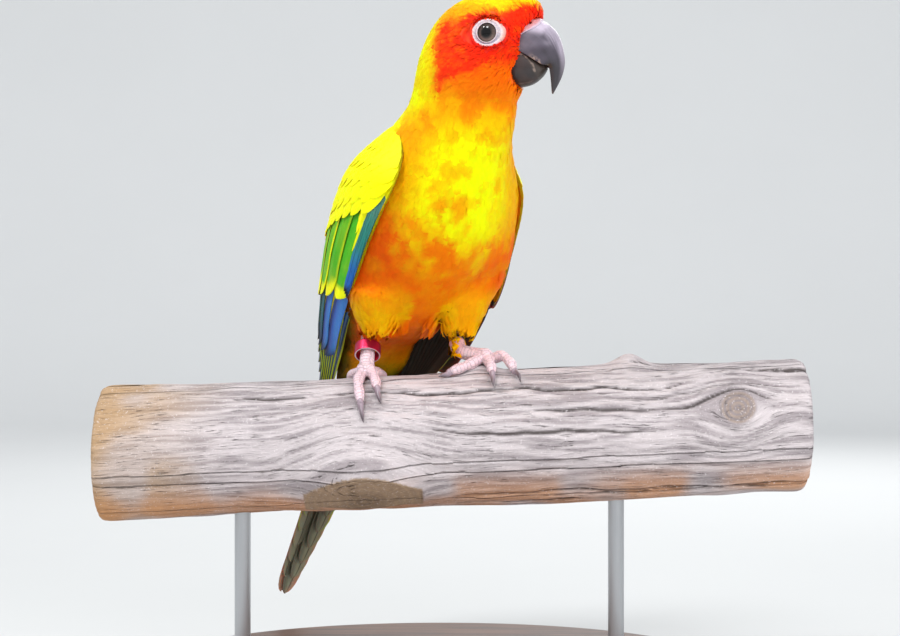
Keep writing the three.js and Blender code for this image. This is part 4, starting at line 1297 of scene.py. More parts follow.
def small_coverts():
    """Tiles from the shoulder down to the green ones, all rising alike from root to tip."""
    made = []
    for number in range(COVERT_ROWS):
        f = number / (COVERT_ROWS - 1)
        start, long = -0.03 + 0.17 * f, 0.07 + 0.03 * f
        rear_start = start * (1 + 1.1 * f) + 0.02
        rear_end = start * (1 + 1.4 * f) + 0.03 + long * 1.15
        count = 9 + number // 2
        slip = (number % 2) / (2 * count)  # every second row is shifted by half a tile
        first, last = 0.02 + 0.05 * f + slip, 0.93 + slip
        made += tier("yellow", count, [(start, first), (rear_start, last)],
                     [(start + long, first), (rear_end, last)],
                     (2.9 + 0.7 * f, 3.1 + 1.4 * f), 1.55 + 0.5 * f, tilt=0.1, blunt=0.6,
                     root_low=-0.2, rise=1, dip=0.5 - 0.22 * f)
    for number in range(2):  # the leading edge, two rows thick
        c, slip = -0.002 - 0.014 * number, 0.012 * number
        made += tier("margin", EDGE_TILES, [(-0.02 + slip, c), (0.37, c - 0.004)],
                     [(0.06 + slip, c), (0.45, c - 0.004)], (1.5, 1.3), 0.6 - 0.5 * number,
                     tilt=0.2, blunt=0.5, root_low=-0.2 - 0.5 * number, rise=1)
    return made


quill_finish = plumage_finish("quills", 3.0, 0.07, 0.22, roughness=0.5, shine=0.16)


def arm_surface(side):
    """The fleshy plate that the coverts grow on, with rounded edges."""
    def place(a, b):
        t = ARM_END * a
        face = np.where(b < 0.5, 2 * b, 2 - 2 * b)
        c = 0.02 + 0.95 * (face - 0.5 * np.maximum(a - 0.8, 0) * (2 * face - 1))
        thick = sample(ARM_THICK, t) * (0.45 + 1.6 * c * (1 - c))
        return on_side(side, wing_place(t, c, np.where(b < 0.5, -0.5, -0.5 - thick), side))
    return place


def arm_colour(a, b, points):
    # painted shade: the plate shows only under the coverts, so all of it is painted darker
    return 0.85 * mix(LEMON, UNDER_YELLOW, ramp(b, 0.5, 0.65) * ramp(b, 1.0, 0.93))


for side in ("right", "left"):
    whole = "wing_" + side
    arm = over_grid(whole + "_arm", 36, 60, arm_surface(side), arm_colour)
    finish_piece(arm, skin_finish.material, "wing", whole)
    for number, (name, sets) in enumerate([*TIERS.items(), ("small_coverts", small_coverts())]):
        small = name == "small_coverts"
        if side == "left" and name == "primaries":
            sets = LEFT_PRIMARIES
        piece = quills(f"{whole}_{name}", sets, on_wing(side), wing_colour, 200 + number,
                       COVERT_THICK if small else THICK, soft=small)
        finish_piece(piece, quill_finish, "wing")

# %% [markdown]
# The tail is twelve long feathers in six pairs. The middle pair is longest
# and lies on top, each next pair is shorter and further out. From the front
# only their grey-brown undersides show, with a yellow-green rim on the outer ones.

# %% Tail feathers
TAIL_GREEN = srgb(88, 112, 38)
TAIL_BLUE = srgb(44, 84, 130)
TAIL_BELOW = srgb(126, 123, 100)
TAIL_PAIRS, TAIL_START, TAIL_THICK = 6, 5, 0.36


def on_tail(get, v, wide, high):
    along = TAIL_START + (get["long"] - TAIL_START) * v
    across = get["offset"] * (1 - 0.35 * v) + wide * (1 - 0.18 * v)  # gathered toward the tip
    sunk = get["deep"] * (0.4 + 0.6 * v)
    return at_tail(across, along, sunk - 0.012 * across**2 + high)


def tail_colour(get, kind, u, v, under, points):
    outer = u * np.sign(get["offset"])
    above = mix(mix(LEAF, TAIL_GREEN, ramp(v, 0.1, 0.45)), TAIL_BLUE, ramp(v, 0.5, 0.95))
    above = mix(above, BLACK, ramp(np.abs(u), 0.7, 1.0) * 0.5)
    below = mix(TAIL_BELOW, TAIL_BELOW * 0.5, ramp(outer, 0.1, -0.7))
    below = mix(below, UNDERSIDE * 0.35, bell(u, SHAFT_U, 0.06))
    rim = ramp(outer, 0.8, 0.95) * ramp(np.abs(get["offset"]), 4.5, 6.5)
    return mix(mix(above, below, under), LEAF, rim * 0.8)


def tail_sets():
    made = []
    for pair in range(TAIL_PAIRS):
        for hand in (-1, 1):
            left = hand < 0  # the left one of a pair is a little longer and lies under the right one
            made.append({
                "kind": "tail", "offset": hand * (1.6 + 1.15 * pair), "half": 4.9 - 0.22 * pair,
                "long": TAIL["length"] * (1 - 0.085 * pair) + 1.2 * left,
                "deep": 1.9 - 0.92 * pair - 0.46 * left,
                "low": 0.1, "root_low": 0.1, "tilt": 0.0, "blunt": 0.13, "rise": 1, "dip": 0,
            })
    return made


tail = quills("tail_feathers", tail_sets(), on_tail, tail_colour, 300, TAIL_THICK)
finish_piece(tail, quill_finish, "tail", "tail")

# %% [markdown]
# The bill is drawn by pairs of profiles in the plane through the middle of
# the head: ridge and cutting edge of the upper half, chin and cutting edge of
# the lower one. Its halves are hollow inside their edges, and the lower edge
# tucks in behind the upper one, so that the shut mouth shows as a dark line.

# %% Bill
UPPER = {
    "outer": [[14, 6.4], [20.6, 6.0], [26.2, 1.2], [28.7, -7], [28, -13.6], [24.6, -20.4]],
    "inner": [[9.9, -3.0], [12.9, -4.9], [16.8, -7.3], [21.4, -10.2], [23.7, -11.2], [24.2, -20.2]],
    "half": [7.1, 7.2, 6.4, 4.9, 2.9, 0.25],
    "wall": 0.72,  # how upright the sides stand above the cutting edge
}
LOWER = {
    "outer": [[8.6, -17.0], [12.8, -17.5], [17.2, -16.6], [20.6, -14.2], [22.5, -11.6]],
    "inner": [[9.6, -2.9], [12.4, -4.1], [16.3, -6.4], [20.0, -8.9], [22.2, -10.2]],
    "half": [6.2, 6.1, 5.3, 3.8, 1.5],
    "wall": 0.5,
}
HORN = srgb(68, 62, 74)
HORN_DARK = srgb(34, 31, 34)
PALE_HORN_AND_HIGHLIGHT = srgb(200, 188, 206)
HORN_BROWN = srgb(84, 64, 60)
HORN_EDGE = srgb(58, 50, 44)
CRUST = srgb(172, 148, 136)
WORN_LINE = [[12.0, -5.0], [15.6, -7.1], [18.3, -10.2], [19.0, -12.6]]  # ahead and up, on the lower half


def bill_section(form, share):
    """Middle, direction to the ridge and half height of a section, in the head's middle plane."""
    outer, inner = sample(form["outer"], share), sample(form["inner"], share)
    return (outer + inner) / 2, unit(outer - inner), np.linalg.norm(outer - inner, axis=-1) / 2


def bill_width(half, turn, wall):
    """How far the side stands out, at a turn that is counted from the ridge."""
    s, c = np.sin(turn), np.cos(turn)
    return half * np.sign(s) * np.abs(s) ** (1 - wall * ramp(-c, 0, 1)) * (1 - 0.14 * c)


def bill_half(form, hollow):
    def place(a, b):
        t = np.clip((a - 0.03) / 0.965, 0, 1)
        shut = np.sqrt(np.clip(a / 0.03, 0, 1) * np.clip((1 - a) / 0.012, 0, 1))
        middle, way, reach = bill_section(form, t)
        wide = bill_width(sample(form["half"], t), TAU * b, form["wall"])
        c = np.cos(TAU * b)
        inside = hollow * ramp(-c, 0.9, 1.0) * ramp(t, 1.0, 0.7)
        deep = reach * (np.where(c < 0, np.maximum(c / 0.9, -1), c) + inside)
        spot = middle + way * (deep * shut)[:, None]
        return in_head(wide * shut, spot[:, 0], spot[:, 1])
    return place


def edge_distance(b):
    """0 on the cutting edges, about 1 on the ridge; the sides of the bill."""
    return np.abs(np.cos(TAU * b) + 0.9) / 1.9


def upper_colour(a, b, points):
    cloudy = mottle(points, 2.6, 4) - 0.5
    top = np.cos(TAU * b)  # 1 on the ridge
    streaks = mottle(np.stack([a * 9, np.abs(b - 0.5) * 90, 0 * a], -1), 1.0, 3) - 0.5
    colour = mix(HORN, HORN_DARK, ramp(a + 0.3 * cloudy + 0.15 * streaks, 0.42, 0.8) * 0.85)
    colour = mix(colour, HORN_DARK, ramp(top, 0.1, -0.6) * ramp(a, 0.45, 0.2) * 0.6)
    # pale horn at the root, mostly on top, and a painted highlight along the ridge
    pale = ramp(a + 0.22 * cloudy + 0.1 * streaks, 0.5, 0.2) * (0.15 + 0.85 * ramp(top, 0.0, 0.7))
    pale = np.maximum(pale, ramp(top, 0.3, 0.7) * ramp(a + 0.2 * streaks, 0.6, 0.35) * 0.5)
    pale = np.maximum(pale, 0.5 * ramp(top, 0.55, 0.95) * ramp(a, 0.95, 0.5))
    colour = mix(colour, PALE_HORN_AND_HIGHLIGHT, pale * 0.95)
    colour = colour * (1 + 0.35 * streaks)[:, None]
    colour = mix(colour, HORN_BROWN, ramp(a, 0.93, 1.0) * 0.8)
    crusty = ramp(edge_distance(b), 0.17, 0.05) * band(a, 0.46, 0.72, 0.08)
    crusty = crusty * ramp(mottle(points, 0.8, 2), 0.35, 0.65)
    return mix(colour, CRUST, crusty * 0.8)


def lower_colour(a, b, points):
    side, ahead, up = head_place(points)
    cloudy = mottle(points, 2.0, 6) - 0.5
    colour = mix(HORN_BROWN * 0.35, HORN_DARK * 0.85, ramp(cloudy, -0.3, 0.3) * 0.7)
    marks = sample(WORN_LINE, np.linspace(0, 1, 41))
    off = np.min(np.hypot(ahead[:, None] - marks[:, 0], up[:, None] - marks[:, 1]), 1)
    off = off + 0.7 * (mottle(points, 0.8, 3) - 0.5)
    off = np.minimum(off, 0.25 + np.abs(np.abs(np.cos(TAU * b)) - 0.86) * 6 + ramp(ahead, 18, 19))
    worn = ramp(off, 0.42, 0.1) * (np.abs(side) > 2.2) * ramp(mottle(points, 1.1, 7), 0.2, 0.5)
    colour = mix(colour, CRUST * 0.8, worn)
    front = ramp(ahead - 0.45 * (-12 - up), 17.6, 19)
    return mix(colour, HORN_EDGE, front * 0.6)


def horn_finish(name, ridges, roughness, coat):
    made = Finish(name, Coat_Roughness=0.18)
    tint = made.attribute("tint")
    grain = made.noise(made.on_map("grain", ridges), 1.0, 4, 0.6)
    fine = made.noise(made.place(), 2.6, 3)
    made.set(
        Base_Color=made.shade(tint, 0.82 + 0.3 * grain + 0.1 * fine),
        Roughness=roughness + 0.22 * (fine - 0.4),
        Coat_Weight=coat * grain.between(0.25, 0.7),
    )
    made.relief(grain * 0.7 + fine * 0.3, 0.1)
    return made.material


def bill_grain(a, b):
    return np.stack([a * 36, np.abs(b - 0.5) * 30], -1)


bill_finish = horn_finish("bill_horn", (1.5, 0.28, 1), 0.4, 0.35)
upper_bill = over_grid("upper_bill", 150, 120, bill_half(UPPER, 0.55), upper_colour, bill_grain)
finish_piece(upper_bill, bill_finish, "bill", "bill_upper")
lower_bill = over_grid("lower_bill", 110, 100, bill_half(LOWER, 0.45), lower_colour, bill_grain)
finish_piece(lower_bill, bill_finish, "bill", "bill_lower")

# %% [markdown]
# The cere is the naked band over the root of the bill, with a nostril on each
# side. Its strip follows the bill's own surface and thins out downward.

# %% Cere and nostrils
CERE = {"from": 0.10, "to": 0.235, "spread": 1.95, "high": 0.75, "wall": 0.55}
NOSTRIL = {"turn": 1.03, "along": 0.38, "radius": 0.85, "deep": 1.3}
CERE_SKIN = srgb(188, 128, 132)
CERE_RED = srgb(196, 96, 78)
NOSTRIL_SHADE = srgb(40, 18, 16)


def on_upper_bill(share, turn, lift):
    """A place on the upper bill, lifted off it; turn runs from the ridge down the sides."""
    middle, way, reach = bill_section(UPPER, share)
    wide = bill_width(sample(UPPER["half"], share) + lift, turn, CERE["wall"])
    spot = middle + way * ((reach + lift) * np.cos(turn))[:, None]
    return in_head(wide, spot[:, 0], spot[:, 1])


def from_nostril(turn, across, round_it, along_it):
    """How far a place on the cere is from the nearer nostril, for a scale each way."""
    back = (across - NOSTRIL["along"]) * (CERE["to"] - CERE["from"])
    return np.hypot((np.abs(turn) - NOSTRIL["turn"]) * round_it, back * along_it)


def cere_place(a, b):
    turn = (a - 0.5) * 2 * CERE["spread"]
    narrow = np.sqrt(np.clip(1 - np.abs(2 * a - 1) ** 6, 0, 1))
    across = 0.5 - 0.5 * np.cos(TAU * b)  # 0 at the rear edge, 1 at the front edge
    swell = CERE["high"] * narrow * (0.75 + 0.5 * bell(np.abs(turn), NOSTRIL["turn"], 0.4))
    top, wave = b < 0.5, np.sin(TAU * b)
    high = np.where(top, swell * wave.clip(0) ** 0.7, -0.7 * (-wave).clip(0))
    off = from_nostril(turn, across, 6.16, 31.25)
    pit = ramp(off, NOSTRIL["radius"], 0.3 * NOSTRIL["radius"])
    rim = bell(off, 1.25 * NOSTRIL["radius"], 0.4)
    high = high + top * (0.22 * rim - NOSTRIL["deep"] * pit) * narrow
    front = CERE["to"] - 0.05 * (1 - np.cos(turn)) - 0.03 * np.cos(3 * turn)
    share = CERE["from"] + (front - CERE["from"]) * across * narrow
    return on_upper_bill(share, turn, high)


def cere_colour(a, b, points):
    turn = (a - 0.5) * 2 * CERE["spread"]
    across = 0.5 - 0.5 * np.cos(TAU * b)
    off = from_nostril(turn, across, 6.2, 31)
    colour = mix(CERE_SKIN, CERE_RED, ramp(across, 0.35, 0.0) * 0.5)
    colour = mix(colour, PALE_HORN_AND_HIGHLIGHT, ramp(across, 0.75, 1.0) * 0.8)
    colour = mix(colour, CERE_RED * 0.6, ramp(off, 1.5, 0.8) * 0.6)
    # painted shade: the nostril's pit is painted nearly black, as the shadow inside it
    return mix(colour, NOSTRIL_SHADE, ramp(off, 0.9, 0.5))


def soft_skin_finish(name, cell, depth, roughness=0.5, coat=0.12, cloud=0.16):
    made = Finish(name, Coat_Weight=coat, Coat_Roughness=0.35, Specular_IOR_Level=0.35)
    made.set(Subsurface_Weight=0.12, Subsurface_Scale=0.0008)
    fine = made.noise(made.place(), cell, 4, 0.6)
    scales = made.cells(made.place(), cell * 0.8)
    made.set(
        Base_Color=made.shade(made.attribute("tint"), 1.0 - cloud + 2 * cloud * fine),
        Roughness=roughness + 0.3 * (fine - 0.5),
    )
    made.relief(fine * 0.4 + scales * 0.6, depth)
    return made.material


naked = soft_skin_finish("naked_skin", 2.2, 0.09)
cere = over_grid("cere", 200, 60, cere_place, cere_colour)
finish_piece(cere, naked, "face")

# %% [markdown]
# The eye is a wet ball with a black pupil, a thin dark limit round the iris
# and a brown iris, painted darker at the top as the lid's shadow and paler
# toward its lower rim as painted light. A naked white ring of soft folds closes
# on it, with painted shade in its fold and a thin grey lid margin at its inner edge.

# %% Eyes and eye rings
PUPIL, IRIS = 1.65, 3.45
LID = {"inner": 3.3, "rear": 6.3, "front": 6.6, "tall": 5.15, "face": 15.35}
LID_PROFILE = [
    [0.0, -0.9], [-0.01, -0.1], [0.05, 0.3], [0.14, 0.34], [0.24, 0.02], [0.38, 0.05], [0.55, 0.3],
    [0.74, 0.28], [0.9, -0.1], [1.0, -0.75], [0.9, -1.3], [0.5, -1.4], [0.12, -1.3], [0.0, -0.9],
]
RING_WHITE = srgb(216, 200, 204)
FOLD_SHADE_GREY = srgb(140, 132, 146)
RING_PINK = srgb(214, 158, 140)
IRIS_DARK = srgb(38, 34, 32)
IRIS_BROWN = srgb(100, 82, 76)
LID_GREY = srgb(70, 66, 70)
PUPIL_BLACK, LIMIT_BLACK = np.full(3, 0.004), np.full(3, 0.006)


def ball_place(hand):
    def place(a, b):
        polar, turn = np.pi * a, TAU * b
        side = EYE["side"] + EYE["ball"] * np.cos(polar)
        return in_head(hand * side, EYE["ahead"] + EYE["ball"] * np.sin(polar) * np.cos(turn),
                       EYE["up"] + EYE["ball"] * np.sin(polar) * np.sin(turn))
    return place


def ball_colour(a, b, points):
    _, ahead, up = head_place(points)
    turn = np.arctan2(up - EYE["up"], ahead - EYE["ahead"])
    off = EYE["ball"] * np.sin(np.pi * np.clip(a, 0, 0.5))
    rays = 0.5 + 0.5 * np.sin(turn * 47 + 3 * np.sin(turn * 11))
    # painted shadow of the lid: the upper part of the iris is darker
    lid_shadow = 1 - 0.6 * ramp(np.sin(turn), 0, 0.8)
    colour = mix(IRIS_DARK, IRIS_BROWN * 0.85, ramp(off, 1.7, 2.4) * (0.5 + 0.3 * rays) * lid_shadow)
    # painted light: the lower rim of the iris is lighter, where light through the cornea falls on it
    colour = mix(colour, IRIS_BROWN * 1.3, ramp(-np.sin(turn), 0.1, 0.9) * band(off, 2.4, 3.2, 0.25) * 0.8)
    colour = mix(colour, PUPIL_BLACK, ramp(off, PUPIL + 0.12, PUPIL - 0.12))
    return mix(colour, LIMIT_BLACK, ramp(off, IRIS - 0.3, IRIS))


def lid_place(hand):
    def place(a, b):
        turn = TAU * a
        share, high = np.moveaxis(sample(LID_PROFILE, b), -1, 0)
        ahead_of = np.cos(turn) > 0
        outer_long = np.where(ahead_of, LID["front"], LID["rear"])
        outer = 1 / np.hypot(np.cos(turn) / outer_long, np.sin(turn) / LID["tall"])
        outer = outer * (1 + 0.03 * bell(turn, np.pi + 0.3, 0.35))  # the rear corner
        reach = LID["inner"] + (outer - LID["inner"]) * share
        ahead, up = reach * np.cos(turn), reach * np.sin(turn)
        folds = 0.05 * np.sin(turn * 26 + 9 * share) * band(share, 0.1, 0.9, 0.1) * (b < 0.62)
        fall = 0.055 * ahead**2 * np.where(ahead_of, 1, 0.28) + 0.03 * up**2
        return in_head(hand * (LID["face"] - fall + high + folds), EYE["ahead"] + ahead, EYE["up"] + up)
    return place


def lid_colour(a, b, points):
    turn = TAU * a
    share = sample(LID_PROFILE, b)[:, 0]
    # painted shade in the fold between lid margin and ring, deeper on the lower half
    furrow_shade = band(share, 0.14, 0.5, 0.1) * (0.4 + 0.5 * ramp(-np.sin(turn), -0.2, 0.8))
    colour = mix(RING_WHITE, FOLD_SHADE_GREY, furrow_shade)
    colour = mix(colour, RING_PINK, ramp(share, 0.45, 0.85) * ramp(np.cos(turn - 0.3), 0.3, 0.85) * 0.8)
    colour = colour * (1 - 0.14 * ramp(mottle(points, 0.9, 4), 0.4, 0.75))[:, None]
    return mix(colour, LID_GREY, ramp(share, 0.07, 0.0))


wet = Finish("wet_eye", Roughness=0.3, Specular_IOR_Level=0.0)
wet.set(Coat_Weight=1.0, Coat_Roughness=0.015, Coat_IOR=1.35, Base_Color=wet.attribute("tint"))
ring_finish = soft_skin_finish("eye_ring_skin", 3.2, 0.07, roughness=0.42, coat=0.25, cloud=0.08)
for hand, side in ((1, "right"), (-1, "left")):
    ball = over_grid("eyeball_" + side, 90, 96, ball_place(hand), ball_colour)
    finish_piece(ball, wet.material, "eye", "eye_" + side)
    lid = over_grid("eye_ring_" + side, 160, 52, lid_place(hand), lid_colour)
    finish_piece(lid, ring_finish, "face")

# %% [markdown]
# The log's surface is a radius that depends on the place along it and on the
# angle from its top toward the front. Swellings stand for the bump under the
# left foot, a twig's stub, a knot and the collar of the branch sawn off below.

# %% The log's form
FOOTHOLD, TWIG, COLLAR = (14.5, 0.05), (71, 0.05), (-28, 2.12)  # place along and angle
KNOT = {"x": 108.0, "angle": 1.2, "radius": 6.6}
CUT = {"x": COLLAR[0], "facing": math.radians(150), "reach": 24.1, "half": 22}
CUT_FACING = np.array([0, -math.sin(CUT["facing"]), math.cos(CUT["facing"])])
BUMPS = (  # place along, angle, height, length, spread
    (*FOOTHOLD, 2.4, 7, 0.5), (*TWIG, 4.4, 6.5, 0.3), (*COLLAR, 7.4, 15, 0.5), (114, 1.28, 1.5, 7, 0.34),
)


def log_radius(x, angle):
    radius = LOG_RADIUS + 0.35 * np.sin(x / 23) + 0.3 * np.sin(2 * angle + x / 41)
    for place, toward, high, long, spread in BUMPS:
        radius = radius + high * bell(x, place, long) * bell(angle_from(angle, toward), 0, spread)
    return radius


def log_axis(x):
    """The log's middle line in millimetres of the row's frame."""
    return np.stack([x, 0 * x, LOG_AXIS + x * LOG_SLOPE], -1)


def on_log(x, angle, lift):
    """A place on the log in millimetres of the row's frame."""
    x, angle, lift = np.broadcast_arrays(np.asarray(x, float), angle, lift)
    radius = log_radius(x, angle) + lift
    return log_axis(x) + radius[..., None] * np.stack([0 * x, -np.sin(angle), np.cos(angle)], -1)


# %% [markdown]
# A foot has two toes in front and two behind, each a tube along a curve on the
# log, welded to palm and shank into one skin. Each point of it remembers how
# far it is along its toe and how far round, so that the scutes can follow.

# %% Feet
FEET = {
    "right": {
        "heel": (-27, 6.2, 13.2), "knee": (-27.1, 3.4, 10.4), "palm": (-27.4, 0.13, 1.2),
        "toes": {
            "outer_front": ([(-29.3, 0.24), (-30, 0.5), (-29.4, 0.72), (-28.9, 0.88)],
                            [(-28.6, 0.98), (-28, 1.12), (-27.5, 1.22)]),
            "inner_front": ([(-25, 0.22), (-24, 0.42), (-23, 0.64)],
                            [(-22.6, 0.74), (-22, 0.85), (-21.4, 0.94)]),
            "outer_back": ([(-31.4, -0.1), (-33.6, -0.34), (-34.2, -0.62), (-33.8, -0.82)],
                           [(-33.5, -0.93), (-33, -1.06), (-32.6, -1.16)]),
            "inner_back": ([(-24.4, -0.08), (-22.4, -0.3), (-22, -0.52)],
                           [(-22, -0.63), (-22.2, -0.75), (-22.4, -0.85)]),
        },
    },
    "left": {
        "heel": (6.2, 3.4, 11.4), "knee": (8.2, 2.2, 8), "palm": (16.6, 0.08, 1.1),
        "toes": {
            "outer_front": ([(20, 0.1, 1.4), (23.2, 0.2, 3.4), (26, 0.34, 2.2), (27, 0.42, 0.9)],
                            [(27.8, 0.47, 0.9), (29, 0.56, 0.9), (29.5, 0.68, 0.3)]),
            "inner_front": ([(18, 0.2, 0.6), (18.8, 0.34, 0.6), (19.2, 0.46)],
                            [(19.4, 0.55), (19.5, 0.64), (19.5, 0.73)]),
            "outer_back": ([(13.4, -0.16), (10, -0.42), (7, -0.66), (5, -0.82)],
                           [(4, -0.9), (2.6, -0.98), (1.4, -1.04)]),
            "inner_back": ([(12.6, 0.2), (8.6, 0.27), (4.6, 0.33)],
                           [(3, 0.36), (1.2, 0.39), (-0.4, 0.42)]),
        },
    },
}
ROUND_END = 0.04  # share of a limb's grid that rounds off each end
SCUTE = 1.4  # length of a plate along a toe
FOOT_VOXEL, FOOT_PASSES = 0.32, 5
TOE_RADIUS = (2.3, 2.0, 2.2, 1.75, 2.0, 1.5)
TOE_LIFT = 1.7
SHANK_RADIUS = (3.1, 2.9, 2.8, 3.0)
CLAW_RADIUS = (1.25, 1.35, 1.15, 0.78, 0.12)
CLAW_LIFT = 1.1
TOE_SKIN = srgb(230, 200, 206)
TOE_GREY = srgb(226, 204, 214)
ANKLE_PINK = srgb(238, 168, 168)
CLAW_BASE = srgb(150, 132, 142)
CLAW_TIP = srgb(58, 50, 54)


def palm_of(leg):
    x, angle, lift = leg["palm"]
    return on_log(x, angle, TOE_LIFT + 0.3 + lift)


def shank_path(leg):
    upper = np.array([np.array(leg[key]) + [0, 0, PERCH_TOP] for key in ("heel", "knee")])
    return np.concatenate([upper, palm_of(leg)[None]])


def run_on_log(path, lift):
    return np.array([on_log(p[0], p[1], lift + (p[2] if len(p) > 2 else 0)) for p in path])


def tube(name, path, radii, along, around, flat=1.0, colour=None):
    """A closed limb along a curve; flat presses it together sideways."""
    def place(a, b):
        t = np.clip((a - ROUND_END) / (1 - 2 * ROUND_END), 0, 1)
        ahead = unit(sample(path, np.minimum(t + 0.01, 1)) - sample(path, np.maximum(t - 0.01, 0)))
        side = unit(np.cross(ahead, [0.0, 0.12, 1.0]))
        high = np.cross(side, ahead)
        over = 1 - np.clip(np.minimum(a, 1 - a) / ROUND_END, 0, 1)  # how far into a rounded end
        reach = sample(radii, t)
        width = reach * np.sqrt(np.maximum(1 - over**2, 0))
        spot = sample(path, t) + ahead * (np.where(a < 0.5, -1, 1) * over * reach * 0.8)[:, None]
        wide, tall = width * np.cos(TAU * b) * flat, width * np.sin(TAU * b)
        return spot + side * wide[:, None] + high * tall[:, None]
    return over_grid(name, along, around, place, colour=colour, frame_of=in_row)


def foot_skin(name, leg):
    """Shank, palm and toes welded into one; the middle lines are returned too."""
    palm = palm_of(leg)
    lines = [(shank_path(leg), SHANK_RADIUS)]
    for path, _ in leg["toes"].values():
        lines.append((np.concatenate([palm[None], run_on_log(path, TOE_LIFT)]), TOE_RADIUS))
    lines.append((np.array([palm - [1.2, -1, 0.2], palm, palm + [1.2, -1.4, -0.5]]), (2.9, 3.2, 2.7)))
    bm = bmesh.new()
    for number, (path, radii) in enumerate(lines):
        limb = tube(f"limb_{number}", path, radii, 48, 20)
        bm.from_mesh(limb.data)
        bpy.data.objects.remove(limb)
    piece = weld_skin(bm, name, FOOT_VOXEL, FOOT_PASSES)
    piece.data.shade_smooth()
    return piece, lines[:-1]


def along_lines(points, lines):
    """For each point: distance along its nearest middle line, and turn round it."""
    best = np.full(len(points), 1e9)
    far, turn, of_shank = (np.zeros(len(points)) for _ in range(3))
    for number, (path, _) in enumerate(lines):
        marks = sample(path, np.linspace(0, 1, 90))
        steps = np.concatenate([[0], np.cumsum(np.linalg.norm(np.diff(marks, axis=0), axis=1))])
        gaps = np.linalg.norm(points[:, None] - marks, axis=-1)
        near = gaps.argmin(1)
        closer = gaps.min(1) < best
        best = np.minimum(best, gaps.min(1))
        axis = unit(np.gradient(marks, axis=0))[near]
        middle = marks[near]
        out = middle - log_axis(middle[:, 0])
        if number == 0:  # the shank's plates are in front
            out = np.broadcast_to([0.0, -1.0, 0.3], out.shape)
        top = unit(out - axis * (out * axis).sum(-1, keepdims=True))
        side = np.cross(axis, top)
        off = points - middle
        own = np.arctan2((off * side).sum(-1), (off * top).sum(-1))
        far, turn = np.where(closer, steps[near], far), np.where(closer, own, turn)
        of_shank = np.where(closer, float(number == 0), of_shank)
    return far, turn, of_shank


def scaly_finish():
    made = Finish("scaly_skin", Coat_Weight=0.1, Coat_Roughness=0.4, Specular_IOR_Level=0.4)
    made.set(Subsurface_Weight=0.1, Subsurface_Scale=0.0008)
    on_toe = made.on_map("grain", (0.72, 0.34, 1))
    edges = made.cells(on_toe, 1.0, "DISTANCE_TO_EDGE", 0.35)
    small = made.cells(made.place(), 1.5, "DISTANCE_TO_EDGE", 0.9)
    fine = made.noise(made.place(), 3.0, 3)
    plates = edges.between(0.0, 0.16)
    pebbles = small.between(0.0, 0.2)
    both = plates * 0.7 + pebbles * 0.3
    tint = made.attribute("tint")
    made.set(Base_Color=made.shade(tint, 0.56 + 0.42 * both + 0.14 * fine), Roughness=0.62 - 0.16 * both)
    made.relief(both, 0.26)
    return made.material


def claw_colour(a, b, points):
    return mix(CLAW_BASE, CLAW_TIP, ramp(a + 0.1 * np.sin(4 * np.pi * b), 0.35, 0.98) * 0.9)


claw_finish = Finish("claw_horn", Coat_Weight=0.35, Coat_Roughness=0.2)
claw_noise = claw_finish.noise(claw_finish.place((1, 1, 3)), 1.4, 3)
claw_finish.set(Base_Color=claw_finish.shade(claw_finish.attribute("tint"), 0.85 + 0.3 * claw_noise),
                Roughness=0.28 + 0.25 * claw_noise)
claw_finish.relief(claw_noise, 0.05)
scaly = scaly_finish()
for side, leg in FEET.items():
    foot, lines = foot_skin("foot_skin_" + side, leg)
    points = get_points(foot.data) / MM
    far, turn, of_shank = along_lines(points, lines)
    plates = 1 - np.abs(2 * ((far / SCUTE) % 1) - 1) ** 4
    plates = plates * ramp(np.cos(turn), -0.1, 0.5) * (1 - 0.6 * of_shank)
    normals = get_points(foot.data, "normal")
    set_points(foot.data, in_row(points + normals * (0.22 * plates - 0.1)[:, None]))
    cloudy = mottle(points, 2.4, 6) - 0.5
    greyed = ramp(np.cos(turn), -0.2, 0.7) * (0.45 + 0.6 * cloudy) * (1 - 0.5 * of_shank)
    colour = mix(mix(TOE_SKIN, TOE_GREY, greyed), ANKLE_PINK, of_shank * ramp(far, 8, 2) * 0.8)
    paint(foot.data, "tint", colour)
    add_map(foot.data, "grain", np.stack([far + 40 * of_shank, turn * 1.9], -1)[loop_points(foot.data)])
    finish_piece(foot, scaly, "skin", "foot_" + side)
    for toe, (path, tip) in leg["toes"].items():
        run = run_on_log(path, TOE_LIFT)
        end = run[-1]
        way = unit(end - run[-2])
        claw_path = np.concatenate([[end - 0.4 * way, end + 1.0 * way], run_on_log(tip, CLAW_LIFT)])
        claw = tube(f"claw_{side}_{toe}_horn", claw_path, CLAW_RADIUS, 60, 24, 0.82, claw_colour)
        finish_piece(claw, claw_finish.material, "claw", f"claw_{side}_{toe}")

# %% [markdown]
# The leg ring is a short closed tube of coloured metal, loose on the shank. A
# grid is wrapped round its section, a rectangle with soft corners that comes
# from small powers of sine and cosine. Its lower rim shows the bare metal.

# %% The leg ring
RING = {"inner": 4.2, "outer": 4.95, "half": 2.2, "along": 0.63}
RING_COLOUR = srgb(206, 44, 84)
BARE_METAL = srgb(224, 220, 224)


